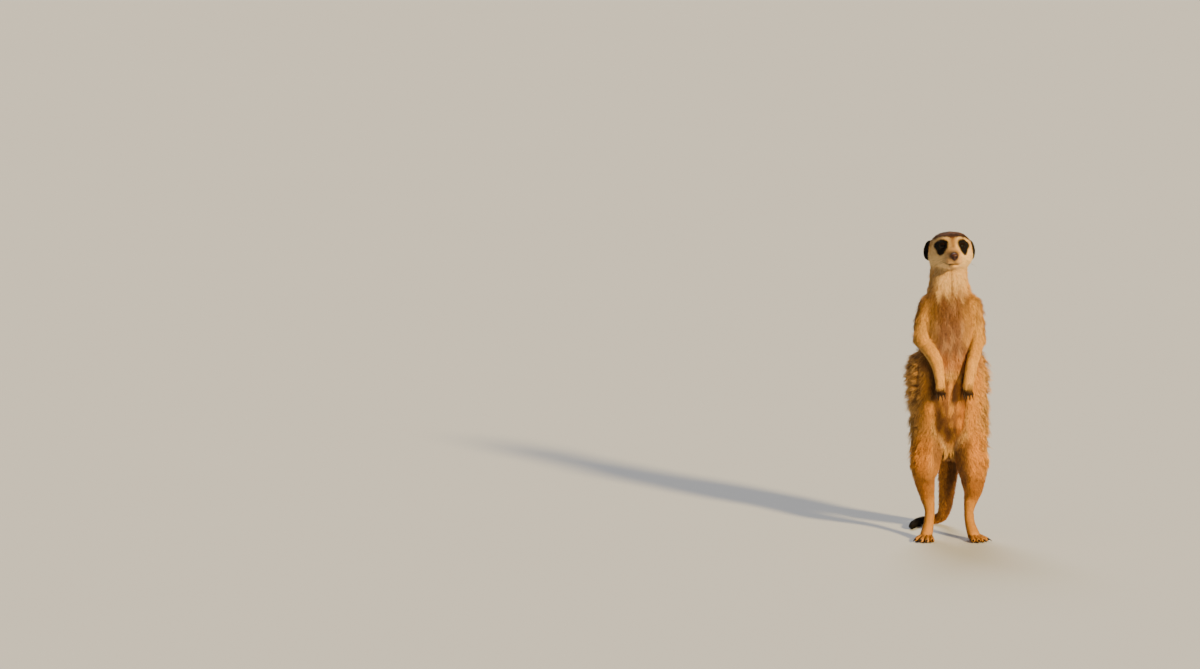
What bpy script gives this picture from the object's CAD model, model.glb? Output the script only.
# A life-size meerkat, standing upright as a sentry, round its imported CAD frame.
# All shapes are worked out in millimetres in the animal's own frame (facing -Y, floor at Z = 0), then set
# in metres where the CAD model stands.
import math
import bpy
import numpy as np
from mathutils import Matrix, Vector


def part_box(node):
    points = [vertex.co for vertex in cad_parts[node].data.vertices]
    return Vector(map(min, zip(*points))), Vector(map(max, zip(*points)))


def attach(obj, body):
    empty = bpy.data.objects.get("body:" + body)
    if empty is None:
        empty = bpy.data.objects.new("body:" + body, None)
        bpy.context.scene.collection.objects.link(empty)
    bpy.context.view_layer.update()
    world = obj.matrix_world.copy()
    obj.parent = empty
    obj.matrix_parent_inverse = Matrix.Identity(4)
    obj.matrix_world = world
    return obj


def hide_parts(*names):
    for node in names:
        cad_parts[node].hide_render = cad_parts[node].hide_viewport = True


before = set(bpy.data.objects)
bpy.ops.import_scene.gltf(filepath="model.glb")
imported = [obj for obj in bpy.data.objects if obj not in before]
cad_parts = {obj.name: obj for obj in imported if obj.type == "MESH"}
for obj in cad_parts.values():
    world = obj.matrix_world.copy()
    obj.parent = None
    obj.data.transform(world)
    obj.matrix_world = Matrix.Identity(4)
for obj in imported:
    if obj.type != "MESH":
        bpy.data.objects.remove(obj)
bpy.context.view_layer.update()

RNG = np.random.default_rng(41)
F32 = np.float32

# ------------------------------------------------------------------ driving dimensions, mm
NOSE_TIP = np.array([4.7, -45.0, 305.0])
HEAD_LENGTH = 73.5
HEAD_PITCH, HEAD_YAW = 8.0, 5.0
EYE_RADIUS = 5.2
EYE_SIDE, EYE_BACK, EYE_UP = 8.9, 28.3, 11.0
EAR_HALF_HEIGHT, EAR_HALF_WIDTH, EAR_CUP = 10.4, 8.6, 4.2
EAR_SIDE, EAR_BACK, EAR_UP = 20.2, 60.5, 7.2
TRUNK_TOP, TRUNK_BASE = 304.0, 83.0

TRUNK = [
    [304, -0.6, 17.5, -7, 22], [285, -1.5, 20.5, -15, 26.5], [275, -1.6, 21, -16.5, 26], [265, -1.2, 23.5, -18.5, 27],
    [256, -0.8, 26.6, -22, 29], [246, -0.5, 28.6, -25.5, 31], [234, 0, 29.2, -29, 32.5], [220, 0, 30.2, -31, 33.5],
    [206, -0.6, 32.4, -31, 34.5], [200, -1.2, 34.6, -31, 36], [195, -2, 39.6, -31.4, 38], [189, -2.6, 44.2, -31.8, 40],
    [180, -2.8, 46.4, -32, 42.8], [168, -2.8, 46.6, -32.5, 45.5], [155, -2.6, 46.6, -32, 47.5], [142, -2, 45.4, -29.5, 49],
    [130, -1.6, 43, -25.5, 49.5], [118, -1.2, 40.5, -19.5, 49.5], [106, -0.8, 36.5, -11.5, 48.5], [96, -0.4, 30, -3, 46],
    [88, 0, 21, 7, 41], [83, 0, 10, 15, 34]]
HEAD = [
    [0, 3.2, 3.4, -3.4], [2.5, 4.7, 4.7, -5.2], [7, 6.6, 6.6, -8], [13, 8.5, 9.2, -10.2], [18, 10.6, 13.4, -11.4],
    [23, 13.1, 19, -12.4], [28, 15.7, 23, -13], [34, 18.6, 25.6, -13.6], [41, 21.6, 27, -14.2], [48, 23.5, 27, -14.6],
    [55, 23.2, 25.4, -14.4], [62, 20.6, 22, -13], [68, 15, 16, -10], [72, 8, 9, -5], [73.5, 2, 2.5, -1]]
UPPER_ARM = {"r": [[-22.5, -3, 249, 11], [-27.4, -8, 231, 11.2], [-29.4, -14, 214, 9.6]],
             "l": [[23.5, -3, 249, 11], [27.4, -8, 231, 10.4], [29.2, -14, 214, 8.6]]}
FOREARM = {"r": [[-29.4, -14, 214, 9.6], [-20.5, -24.5, 203, 8.3], [-13, -34, 188, 6.5], [-9.8, -40.5, 169, 4.9]],
           "l": [[29.2, -14, 214, 8.6], [26.6, -24, 203, 7.4], [22.6, -34, 188, 6.6], [19.2, -40.5, 169, 5.5]]}
THIGH = {"r": [[-19.5, 14, 138, 20], [-22, 13, 118, 21.5], [-23.6, 7, 98, 19.6], [-26, 1, 80, 15.2]],
         "l": [[19.5, 14, 138, 20], [21.5, 13, 118, 21.5], [22.6, 7, 98, 19.8], [24.2, 1, 80, 16.6]]}
SHANK = {"r": [[-26, 1, 80, 15.2], [-26.6, 8, 64, 12], [-24.6, 14, 50, 9.4], [-23, 15.5, 41, 7.4]],
         "l": [[24.2, 1, 80, 16.6], [24.6, 8, 64, 13.8], [24.6, 14, 50, 10.2], [22.6, 15.5, 41, 7.6]]}
FOOT = {"r": [[-23, 15.5, 41, 7.4], [-20.9, 7.5, 29, 5.4], [-21.8, -1, 17, 5.5], [-24.4, -11, 5.7, 6.7]],
        "l": [[22.6, 15.5, 41, 7.6], [20.4, 7.5, 29, 5.3], [21.4, -1, 17, 5.4], [25.4, -11, 5.7, 6.7]]}
TOES = {"r": [[[-28.6, -12, 5], [-34.6, -22.5, 2.5]], [[-26, -14, 5], [-29.4, -28.5, 2.5]],
              [[-23.2, -14.5, 5], [-23.6, -30, 2.5]], [[-20.6, -13, 5], [-18.2, -27, 2.5]]],
        "l": [[[29.8, -10.5, 5], [38.8, -18.6, 2.5]], [[28.4, -13, 5], [35.2, -25.6, 2.5]],
              [[25.6, -14.5, 5], [30.2, -29, 2.5]], [[22.6, -14, 5], [24.8, -28.4, 2.5]]]}
TOE_RADII, FINGER_RADII = (3.3, 2.8), (2.1, 1.75)
CLAW_HAND, CLAW_FOOT = 9.6, 8.5
TAIL = [[0, 38, 100, 13], [-0.6, 51, 80, 12], [-2, 64, 57, 10.8], [-3.4, 77, 35, 8.8], [-5, 88, 19.5, 7.2],
        [-8, 97, 10.2, 6.4], [-14, 103, 5.8, 5.8], [-21.5, 102.5, 4.9, 5.4], [-28.5, 96.5, 4.6, 5.1],
        [-34, 87, 4.3, 4.8], [-37.8, 76, 3.9, 4.3], [-39.5, 66, 3.5, 3.8]]


# ------------------------------------------------------------------ small maths
def unit(v):
    v = np.asarray(v, float)
    return v / np.maximum(np.linalg.norm(v, axis=-1, keepdims=True), 1e-9)


def ramp(x, a, b):
    """0 at a and before, 1 at b and after, smooth between; a may be above b."""
    t = np.clip((x - a) / (b - a), 0, 1)
    return t * t * (3 - 2 * t)


def mix(a, b, t):
    return a + (b - a) * t


def bump(x, centre, width):
    return np.exp(-((x - centre) / width) ** 2)


def smin(a, b, k):
    h = np.maximum(k - np.abs(a - b), 0) / k
    return np.minimum(a, b) - h * h * k * 0.25


def smax(a, b, k):
    return -smin(-a, -b, k)


def dense(table, n=600):
    """A table's columns on a fine even scale, by the same Hermite rule as the solids."""
    t = sorted(table, key=lambda r: r[0])
    t = np.array(t, float)
    xs = np.linspace(t[0, 0], t[-1, 0], n)
    out = np.zeros((n, t.shape[1]))
    for j, x in enumerate(xs):
        i = min(len(t) - 2, max(0, np.searchsorted(t[:, 0], x, side="right") - 1))
        a, b = t[i], t[i + 1]
        h = b[0] - a[0]
        s = (x - a[0]) / h
        ma = (b - t[i - 1]) / (b[0] - t[i - 1][0]) * h if i > 0 else b - a
        mb = (t[i + 2] - a) / (t[i + 2][0] - a[0]) * h if i < len(t) - 2 else b - a
        s2, s3 = s * s, s * s * s
        out[j] = (2 * s3 - 3 * s2 + 1) * a + (s3 - 2 * s2 + s) * ma + (-2 * s3 + 3 * s2) * b + (s3 - s2) * mb
    return xs, out


TRUNK_X, TRUNK_T = dense(TRUNK)
HEAD_X, HEAD_T = dense(HEAD)


def look(xs, tab, x, col):
    return np.interp(x, xs, tab[:, col])


def centripetal(points, per=5):
    """Points along a centripetal Catmull-Rom curve; the fourth column, the radius, runs straight from knot to knot."""
    p = np.array(points, float)
    xyz = p[:, :3]
    n = len(p)
    out = []
    for i in range(n - 1):
        p1, p2 = xyz[i], xyz[i + 1]
        p0 = xyz[i - 1] if i > 0 else 2 * xyz[0] - xyz[1]
        p3 = xyz[i + 2] if i < n - 2 else 2 * xyz[-1] - xyz[-2]
        d0, d1, d2 = [max(np.sum((b - a) ** 2) ** 0.25, 1e-4) for a, b in ((p0, p1), (p1, p2), (p2, p3))]
        t1 = ((p1 - p0) / d0 - (p2 - p0) / (d0 + d1) + (p2 - p1) / d1) * d1
        t2 = ((p2 - p1) / d1 - (p3 - p1) / (d1 + d2) + (p3 - p2) / d2) * d1
        for k in range(per + (i == n - 2)):
            s = k / per
            q = p1 + t1 * s + (-3 * p1 + 3 * p2 - 2 * t1 - t2) * s * s + (2 * p1 - 2 * p2 + t1 + t2) * s ** 3
            out.append([*q, mix(p[i, 3], p[i + 1, 3], s)])
    return np.array(out)


WAVES = [(RNG.normal(size=3), RNG.uniform(0, 6.28)) for _ in range(18)]


def noise(P, scale, seed=0):
    """Smooth noise of about -1 to 1 with features of about `scale` mm."""
    out = np.zeros(len(P))
    for j in range(6):
        k, ph = WAVES[(seed * 5 + j) % 18]
        out += np.sin(P @ (k * (1.6 + 0.5 * j) / scale) + ph * (1 + seed))
    return out / 3.2


# ------------------------------------------------------------------ frames of the head
def rotation(pitch, yaw):
    p, y = math.radians(-pitch), math.radians(yaw)
    rx = np.array([[1, 0, 0], [0, math.cos(p), -math.sin(p)], [0, math.sin(p), math.cos(p)]])
    rz = np.array([[math.cos(y), -math.sin(y), 0], [math.sin(y), math.cos(y), 0], [0, 0, 1]])
    return rz @ rx


HEAD_R = rotation(HEAD_PITCH, HEAD_YAW)


def to_head(P):
    return (P - NOSE_TIP) @ HEAD_R


def from_head(L):
    return np.asarray(L, float) @ HEAD_R.T + NOSE_TIP


def head_dir(L):
    return unit(np.asarray(L, float)) @ HEAD_R.T


def ear_frame(s):
    across = unit([s * 0.66, 0.75, 0])
    up = unit([s * 0.12, 0.08, 1])
    face = unit(np.cross(across, up))
    if (face @ HEAD_R.T)[1] > 0:
        face = -face
    return np.array([s * EAR_SIDE, EAR_BACK, EAR_UP]), across, up, face


def eye_frame(s):
    c = np.array([s * EYE_SIDE, EYE_BACK, EYE_UP])
    g = unit([s * 0.30, -0.95, 0.05])
    h = unit(np.cross(g, [0, 0, 1]))
    return c, g, h, unit(np.cross(h, g))


# ------------------------------------------------------------------ the body's parts as distance fields
# Each part gives, for points P: the distance to the coat's outline, a share t along the part, and the coat's lie.
class Part:
    def __init__(self, name, lo, hi, blend):
        self.name, self.lo, self.hi, self.blend = name, np.array(lo, float), np.array(hi, float), blend


def belly_hollow(P):
    """1 on the bare strip of the belly that lies behind the fur of the two thighs."""
    half = np.interp(P[:, 2], [90, 104, 125, 160, 185], [2, 8, 16, 19, 19])
    return ramp(np.abs(P[:, 0] + 0.5), half + 4.2, half - 2.2) * ramp(P[:, 2], 182, 168) * ramp(P[:, 2], 88, 96) * ramp(P[:, 1], 2, -4)


def flank_tufts(P):
    """1 where the long hair of the flanks comes round to the front, further on the right side than on the left."""
    x, z = P[:, 0], P[:, 2]
    right = np.interp(z, [90, 128, 154, 200], [36, 32, 23, 22])
    return np.where(x < 0, ramp(-x, right, right + 7), 0.6 * ramp(x, 35, 43)) * ramp(z, 210, 199) * ramp(z, 84, 96)


class Trunk(Part):
    def __init__(self):
        super().__init__("trunk", [-52, -36, 80], [48, 53, 308], 1)

    def shape(self, P):
        z = np.clip(P[:, 2], TRUNK_BASE, TRUNK_TOP)
        cx, w = look(TRUNK_X, TRUNK_T, z, 1), look(TRUNK_X, TRUNK_T, z, 2)
        f, b = look(TRUNK_X, TRUNK_T, z, 3), look(TRUNK_X, TRUNK_T, z, 4)
        return z, cx, w, (f + b) / 2, (b - f) / 2

    def at(self, P):
        z, cx, w, cy, d = self.shape(P)
        dx, dy = P[:, 0] - cx, P[:, 1] - cy
        r = (np.abs(dx / w) ** 2.15 + np.abs(dy / d) ** 2.15) ** (1 / 2.15)
        rho = np.hypot(dx, dy)
        side = np.where(r > 1e-3, rho * (1 - 1 / np.maximum(r, 1e-3)), -np.minimum(w, d))
        cap = np.maximum(P[:, 2] - TRUNK_TOP, TRUNK_BASE - P[:, 2])
        out = np.hypot(np.maximum(side, 0), np.maximum(cap, 0))
        return np.where(cap > 0, np.where(side > 0, out, cap), np.maximum(side, cap)), (TRUNK_TOP - z) / 221

    def depth(self, P, t):
        z, cx, w, cy, d = self.shape(P)
        ny = (P[:, 1] - cy) / d
        nx = (P[:, 0] - cx) / w
        a = np.hypot(nx, ny) + 1e-6
        front = ramp(-ny / a, 0.25, 0.85) * (1 - 0.9 * flank_tufts(P))
        back = ramp(ny / a, 0.5, 0.95)
        side = np.interp(z, [83, 100, 120, 150, 180, 190, 198, 206, 225, 245, 262, 285, 304],
                         [5, 7, 8.5, 9.5, 10, 9.5, 7.2, 5.4, 5, 5, 4.4, 3.6, 3.2])
        rear = np.interp(z, [83, 110, 180, 206, 262, 304], [5, 7, 7.5, 6, 5, 3.2])
        belly = np.interp(z, [83, 120, 180, 240, 262, 285, 304], [2.4, 2.6, 3, 3.2, 3, 2.6, 2.2])
        return mix(mix(side, rear, back), belly, front) + 2.9 * belly_hollow(P)

    def lie(self, P, N):
        v = np.zeros_like(P)
        z = P[:, 2]
        v[:, 2] = -1
        side = np.clip(P[:, 0] / 40, -1, 1)
        brush = flank_tufts(P)
        front = ramp(-P[:, 1], 5, 24) * (1 - 0.85 * brush)
        v[:, 0] += np.sign(P[:, 0]) * brush * (0.35 + 0.75 * ramp(z, 130, 165)) * ramp(-P[:, 1], 0, 14)
        v[:, 0] += side * (0.35 + 0.75 * ramp(-P[:, 1], -22, 0)) * ramp(z, 215, 190) * (1 - front) - side * 0.5 * front * ramp(z, 170, 130)
        v[:, 0] += side * 0.45 * front * ramp(z, 262, 240) * ramp(z, 205, 225)
        flank = (1 - front) * ramp(np.abs(P[:, 0]), 16, 30)
        sweep = bump(z, 167, 11) + 0.9 * bump(z, 104, 11) + 0.5 * bump(z, 188, 8)
        v[:, 1] += (1 - front) * (0.25 * ramp(z, 200, 160) + 0.9 * flank * sweep)
        v[:, 2] += flank * 0.55 * sweep
        return v


class HeadPart(Part):
    def __init__(self):
        super().__init__("head", [-29, -50, 282], [32, 34, 331], 5)

    def at(self, P):
        L = to_head(P)
        return self.local(L)

    def local(self, L):
        x, a, u = L[:, 0], L[:, 1], L[:, 2]
        ac = np.clip(a, 0, HEAD_LENGTH)
        w = look(HEAD_X, HEAD_T, ac, 1)
        top, bot = look(HEAD_X, HEAD_T, ac, 2), look(HEAD_X, HEAD_T, ac, 3)
        mid, half = (top + bot) / 2, (top - bot) / 2
        dz = u - mid
        rad = np.hypot(x, dz) + 1e-6
        s, c = dz / rad, np.abs(x) / rad
        w = w + 2.2 * bump(ac, 52, 12) * np.maximum(0, -s) * c * 2
        e = 2 + 0.4 * ramp(ac, 14, 32)
        r = (np.abs(x / w) ** e + np.abs(dz / half) ** e) ** (1 / e)
        side = np.where(r > 1e-3, rad * (1 - 1 / np.maximum(r, 1e-3)), -np.minimum(w, half))
        side = side * np.interp(ac, [0, 3, 15, 25, 35, 60, 68, 73.5], [0.7, 0.8, 0.85, 0.85, 0.95, 0.9, 0.65, 0.5])
        cap = np.maximum(-a, a - HEAD_LENGTH)
        out = np.hypot(np.maximum(side, 0), np.maximum(cap, 0))
        return np.where(cap > 0, np.where(side > 0, out, cap), np.maximum(side, cap)), ac / HEAD_LENGTH

    def depth(self, P, t):
        L = to_head(P)
        a = L[:, 1]
        top = ramp(L[:, 2], 8, 22)
        face = np.interp(a, [0, 6, 14, 24, 32, 42, 55, 73], [0.5, 0.6, 0.8, 1.1, 1.5, 2.6, 3.4, 3.4])
        crown = np.interp(a, [0, 14, 24, 34, 55, 73], [0.5, 0.7, 1.1, 1.6, 2.4, 3])
        return mix(face, crown, top)

    def lie(self, P, N):
        L = to_head(P)
        d = np.zeros_like(L)
        d[:, 1] = 1
        low = ramp(L[:, 2], 4, -12)
        d[:, 2] -= 0.75 * low * ramp(L[:, 1], 12, 40)
        d[:, 0] += np.sign(L[:, 0]) * 0.35 * ramp(L[:, 1], 6, 30) * ramp(L[:, 2], 24, 10)
        tipward = ramp(L[:, 1], 11, 3)
        d[:, 2] += tipward * np.where(L[:, 2] < -1, -1.3, 0.5)
        # the fur parts round the eyes
        for s in (1, -1):
            c, g, h, v = eye_frame(s)
            q = L - c
            near = np.exp(-(np.linalg.norm(q, axis=1) / 8.5) ** 4)
            q = q - np.outer(q @ g, g)
            d += (near * 1.2)[:, None] * unit(q)
        return d @ HEAD_R.T


class Ear(Part):
    def __init__(self, s):
        c = from_head([s * EAR_SIDE, EAR_BACK, EAR_UP])
        super().__init__("ear_" + ("l" if s > 0 else "r"), c - 14, c + 14, 2.2)
        self.s = s

    def coords(self, P):
        L = to_head(P)
        c, across, up, face = ear_frame(self.s)
        q = L - c
        u = q @ up / EAR_HALF_HEIGHT
        a = q @ across / (EAR_HALF_WIDTH * (1 - 0.12 * np.clip(u, -1.2, 1.2)))
        return a, u, q @ face

    def at(self, P):
        a, u, f = self.coords(P)
        r = np.hypot(a, u)
        rc = np.minimum(r, 1.15)
        f0 = EAR_CUP * rc * rc - EAR_CUP * 0.6
        # folds in the cup
        f0 = f0 + 1.5 * bump(u, 0.1 + 0.35 * a, 0.17) * ramp(r, 0.85, 0.4) + 1.1 * bump(u, -0.42 + 0.1 * a, 0.13) * ramp(r, 0.9, 0.5)
        slope = np.sqrt(1 + (2 * EAR_CUP * rc / EAR_HALF_WIDTH) ** 2)
        out = np.maximum(0, (r - 0.88) * EAR_HALF_WIDTH)
        sheet = np.abs(f - f0) / slope
        return np.hypot(out, sheet) - 1.15, np.clip(r, 0, 1)

    def depth(self, P, t):
        return np.full(len(P), 0.3)

    def lie(self, P, N):
        a, u, f = self.coords(P)
        c, across, up, face = ear_frame(self.s)
        d = np.outer(a, across) + np.outer(u, up) + 0.2 * np.outer(np.ones(len(P)), across)
        return d @ HEAD_R.T


class Chain(Part):
    def __init__(self, name, chains, blend, depths, stretch=1.0, rank=0, lie_bias=None, inner=None):
        self.chains = [centripetal(c, 5) if len(c) > 2 else np.array(c, float) for c in chains]
        allp = np.vstack(self.chains)
        pad = allp[:, 3:].max() + 2
        super().__init__(name, allp[:, :3].min(0) - pad, allp[:, :3].max(0) + pad, blend)
        self.depths, self.stretch, self.bias, self.inner = depths, stretch, lie_bias, inner
        self.cuts = [np.concatenate([[0], np.cumsum(np.linalg.norm(np.diff(c[:, :3], axis=0), axis=1))]) for c in self.chains]

    def nearest(self, P):
        best = np.full(len(P), 1e9)
        t_at = np.zeros(len(P))
        tan = np.zeros((len(P), 3))
        rad = np.zeros((len(P), 3))
        for c, cum in zip(self.chains, self.cuts):
            for j in range(len(c) - 1):
                a, b = c[j, :3], c[j + 1, :3]
                ab = b - a
                q = P - a
                t = np.clip(q @ ab / (ab @ ab), 0, 1)
                v = q - t[:, None] * ab
                if self.stretch != 1.0:
                    v = v * np.array([1, 1 / self.stretch, 1])
                d = np.linalg.norm(v, axis=1) - mix(c[j, 3], c[j + 1, 3], t)
                m = d < best
                best[m] = d[m]
                t_at[m] = (cum[j] + t[m] * (cum[j + 1] - cum[j])) / cum[-1]
                tan[m] = ab / np.linalg.norm(ab)
                rad[m] = v[m]
        return best, t_at, tan, rad

    def at(self, P):
        d, t, _, _ = self.nearest(P)
        return d, t

    def depth(self, P, t):
        d = np.interp(t, np.linspace(0, 1, len(self.depths)), self.depths)
        if self.inner:
            s = 1 if self.name.endswith("l") else -1
            c = self.chains[0]
            mid = np.interp(P[:, 2], c[::-1, 2], c[::-1, 0])
            d = mix(d, self.inner, ramp((P[:, 0] - mid) * s, 4, -6))
        return d

    def lie(self, P, N):
        _, _, tan, _ = self.nearest(P)
        v = tan.copy()
        if self.bias is not None:
            v = v + np.array(self.bias)
        return v


def fingers_of(side):
    x, y, z, _ = FOREARM[side][-1]
    out = []
    for i, dx in enumerate([-3.5, -1.2, 1.2, 3.5]):
        outer = i in (0, 3)
        out.append(([x + dx * 0.84, y - 1.6, z - 5.4], [x + dx * 1.16, y - 2.8 + (0.5 if outer else 0), z - 10 + (0.9 if outer else 0)]))
    return out


def hand_chains(side):
    x, y, z, r = FOREARM[side][-1]
    palm = [[x, y, z, r], [x, y - 1, z - 3.2, 5.0], [x, y - 1.6, z - 5.4, 4.4]]
    return [palm] + [[[*a, FINGER_RADII[0]], [*b, FINGER_RADII[1]]] for a, b in fingers_of(side)]


PARTS = [Trunk(), HeadPart(), Ear(1), Ear(-1)]
for s_, x_ in (("l", 1), ("r", -1)):
    PARTS += [
        Chain("upper_arm_" + s_, [UPPER_ARM[s_]], 7, [3.4, 3, 2.6]),
        Chain("forearm_" + s_, [FOREARM[s_]], 2.4, [2.4, 2, 1.6, 1.1]),
        Chain("hand_" + s_, hand_chains(s_), 0.9, [0.9, 0.5, 0.3]),
        Chain("thigh_" + s_, [THIGH[s_]], 9, [8, 7, 6, 4.6], stretch=1.16, lie_bias=[0.22 * x_, 0.2, 0], inner=2.6),
        Chain("shank_" + s_, [SHANK[s_]], 6, [4.6, 3.6, 2.4, 1.4], stretch=1.1, inner=2.0),
        Chain("foot_" + s_, [FOOT[s_]] + [[[*a, TOE_RADII[0]], [*b, TOE_RADII[1]]] for a, b in TOES[s_]], 1.6, [1.2, 0.8, 0.6, 0.5]),
    ]
PARTS += [Chain("tail", [TAIL], 8, [4.2, 4, 3.6, 3, 2.4, 2, 1.7, 1.4, 1.2])]
BY = {p.name: p for p in PARTS}
ORDER = [p.name for p in PARTS]


def face_detail(P, F):
    """Lids, lips and muzzle pads on the head's skin, where F is the skin's field."""
    L = to_head(P)
    near = (L[:, 1] < 46) & (L[:, 1] > -8) & (np.abs(L[:, 0]) < 24) & (np.abs(L[:, 2]) < 26)
    if not near.any():
        return F
    Q, G = L[near], F[near].copy()
    x, a, u = Q[:, 0], Q[:, 1], Q[:, 2]
    ax = np.abs(x)
    # whisker pads and chin
    pads = np.sqrt(((ax - 4.0) / 3.9) ** 2 + ((a - 9.5) / 6.2) ** 2 + ((u + 3.9) / 3.9) ** 2)
    G = smin(G, (pads - 1) * 3.6, 2.0)
    chin = np.sqrt((x / 4.6) ** 2 + ((a - 13) / 8) ** 2 + ((u + 9.6) / 2.7) ** 2)
    G = smin(G, (chin - 1) * 2.7, 1.6)
    # the mouth's line runs back and a little up to its corner
    line = -7.1 - 0.16 * a + 0.012 * a * a + 1.2 * bump(x, 0, 1.6) * ramp(a, 7, 3)
    G += 1.0 * bump(u, line, 0.55) * ramp(a, 24, 19) * ramp(a, 0.5, 2.5)
    # groove under the nose
    G += 0.6 * bump(x, 0, 0.5) * ramp(u, -2.2, -3.2) * ramp(u, -7.8, -6.8) * ramp(a, 8, 5)
    # brow and the hollow between eye and muzzle
    G -= 0.7 * bump(ax, 8.5, 4.5) * bump(u, 18.2, 2.6) * bump(a, 26, 6)
    G += 0.8 * bump(ax, 6.4, 2.6) * bump(u, 6.4, 3.0) * bump(a, 20, 4.5)
    for s in (1, -1):
        c, g, h, v = eye_frame(s)
        q = Q - c
        t, p, w = q @ g, q @ h, q @ v
        r = np.linalg.norm(q, axis=1)
        G = smin(G, r - (EYE_RADIUS + 0.75), 1.8)
        lidded = np.sqrt((p / 4.1) ** 2 + ((w - 0.1) / 3.35) ** 2 + 0.25 * np.abs(p / 4.1) ** 3)
        G = smax(G, -np.maximum((lidded - 1) * 3.4, 0.4 - t), 0.5)
        # crease over the upper lid
        G += 0.35 * bump(np.sqrt((p / 4.1) ** 2 + (w / 3.35) ** 2), 1.55, 0.12) * ramp(w, 0.4, 2) * ramp(t, 1, 2.6)
    out = F.copy()
    out[near] = G
    return out


def throat_groove(P):
    z = P[:, 2]
    return 0.9 * bump(P[:, 0], 1.2 + (286 - z) * 0.07, 1.0) * ramp(P[:, 1], -8, -12) * ramp(z, 262, 270) * ramp(z, 292, 286)


def skin_field(P, near=8.0):
    """The skin: every part drawn in by its coat's depth, run together smoothly."""
    F = np.full(len(P), 60.0)
    for p in PARTS:
        m = np.all((P > p.lo - near) & (P < p.hi + near), axis=1)
        if not m.any():
            continue
        Q = P[m]
        d, t = p.at(Q)
        F[m] = smin(F[m], d + p.depth(Q, t), blend_of(p, Q))
    F = face_detail(P, F) + throat_groove(P)
    return smax(F, 0.25 - P[:, 2], 0.3)  # soles and the lying tail are flat on the floor


def blend_of(p, Q):
    """How widely a part runs into the body: forearms and hands lie free of the belly."""
    if p.name.startswith("upper_arm"):
        return np.interp(Q[:, 2], [206, 216, 236], [1.5, 2.5, 8])
    if p.name.startswith("forearm"):
        return np.interp(Q[:, 2], [196, 206, 214], [0.6, 1.2, 3.5])
    if p.name.startswith("shank"):
        return np.interp(Q[:, 2], [50, 75], [3, 9])
    return p.blend


def coat_field(P, near=8.0):
    """The outline of the coat, out to the tips."""
    F = np.full(len(P), 60.0)
    for p in PARTS:
        m = np.all((P > p.lo - near) & (P < p.hi + near), axis=1)
        if m.any():
            F[m] = smin(F[m], p.at(P[m])[0], 2.5)
    return F


def gradient(field, P, e=0.25):
    f0 = field(P)
    g = np.stack([field(P + np.eye(3)[i] * e) - f0 for i in range(3)], axis=1) / e
    return f0, g


# ------------------------------------------------------------------ skin surface
def axis_steps(spans):
    """Grid lines from (start, step) pairs up to a last value."""
    out = [spans[0][0]]
    for (a, step), (b, _) in zip(spans[:-1], spans[1:]):
        while out[-1] < b - 1e-6:
            out.append(out[-1] + step)
    return np.array(out)


def surface(xs, ys, zs, values):
    """Naive surface nets on a rectilinear grid: one vertex in each cell that the surface crosses."""
    nx, ny, nz = values.shape
    inside = values < 0
    corner = [(i, j, k) for i in (0, 1) for j in (0, 1) for k in (0, 1)]
    count = np.zeros((nx - 1, ny - 1, nz - 1), np.int8)
    for i, j, k in corner:
        count += inside[i:nx - 1 + i, j:ny - 1 + j, k:nz - 1 + k]
    live = (count > 0) & (count < 8)
    ids = np.full(live.shape, -1, np.int64)
    cells = np.argwhere(live)
    ids[live] = np.arange(len(cells))
    ci, cj, ck = cells.T
    pos = np.zeros((len(cells), 3))
    hits = np.zeros(len(cells))
    axes = (xs, ys, zs)
    for (a, b) in [(c0, c1) for c0 in corner for c1 in corner if sum(c1) - sum(c0) == 1 and all(q >= p for p, q in zip(c0, c1))]:
        va = values[ci + a[0], cj + a[1], ck + a[2]]
        vb = values[ci + b[0], cj + b[1], ck + b[2]]
        m = (va < 0) != (vb < 0)
        t = np.where(m, va / np.where(m, va - vb, 1), 0)
        pa = np.stack([xs[ci + a[0]], ys[cj + a[1]], zs[ck + a[2]]], 1)
        pb = np.stack([xs[ci + b[0]], ys[cj + b[1]], zs[ck + b[2]]], 1)
        pos += np.where(m[:, None], pa + (pb - pa) * t[:, None], 0)
        hits += m
    pos /= hits[:, None]
    quads = []
    for ax in range(3):
        o1, o2 = [(1, 2), (2, 0), (0, 1)][ax]
        sl0 = [slice(1, -1)] * 3
        sl1 = [slice(1, -1)] * 3
        sl0[ax], sl1[ax] = slice(0, -1), slice(1, None)
        A, B = inside[tuple(sl0)], inside[tuple(sl1)]
        for flip, m in ((False, A & ~B), (True, ~A & B)):
            e = np.argwhere(m)
            if not len(e):
                continue
            base = e + 1
            base[:, ax] -= 1
            def cell(d1, d2):
                c = base.copy()
                c[:, o1] -= d1
                c[:, o2] -= d2
                return ids[c[:, 0], c[:, 1], c[:, 2]]
            q = np.stack([cell(1, 1), cell(0, 1), cell(0, 0), cell(1, 0)], 1)
            quads.append(q[:, ::-1] if flip else q)
    return pos, np.vstack(quads)


def relax(verts, quads, rounds, hold=0.5):
    """Laplacian smoothing along the quads' edges."""
    e = np.vstack([quads[:, [0, 1]], quads[:, [1, 2]], quads[:, [2, 3]], quads[:, [3, 0]]])
    n = len(verts)
    deg = np.bincount(e[:, 0], minlength=n) + np.bincount(e[:, 1], minlength=n)
    for _ in range(rounds):
        s = np.zeros_like(verts)
        for c in range(3):
            s[:, c] = np.bincount(e[:, 0], verts[e[:, 1], c], n) + np.bincount(e[:, 1], verts[e[:, 0], c], n)
        verts = mix(verts, s / deg[:, None], hold)
    return verts


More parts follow.
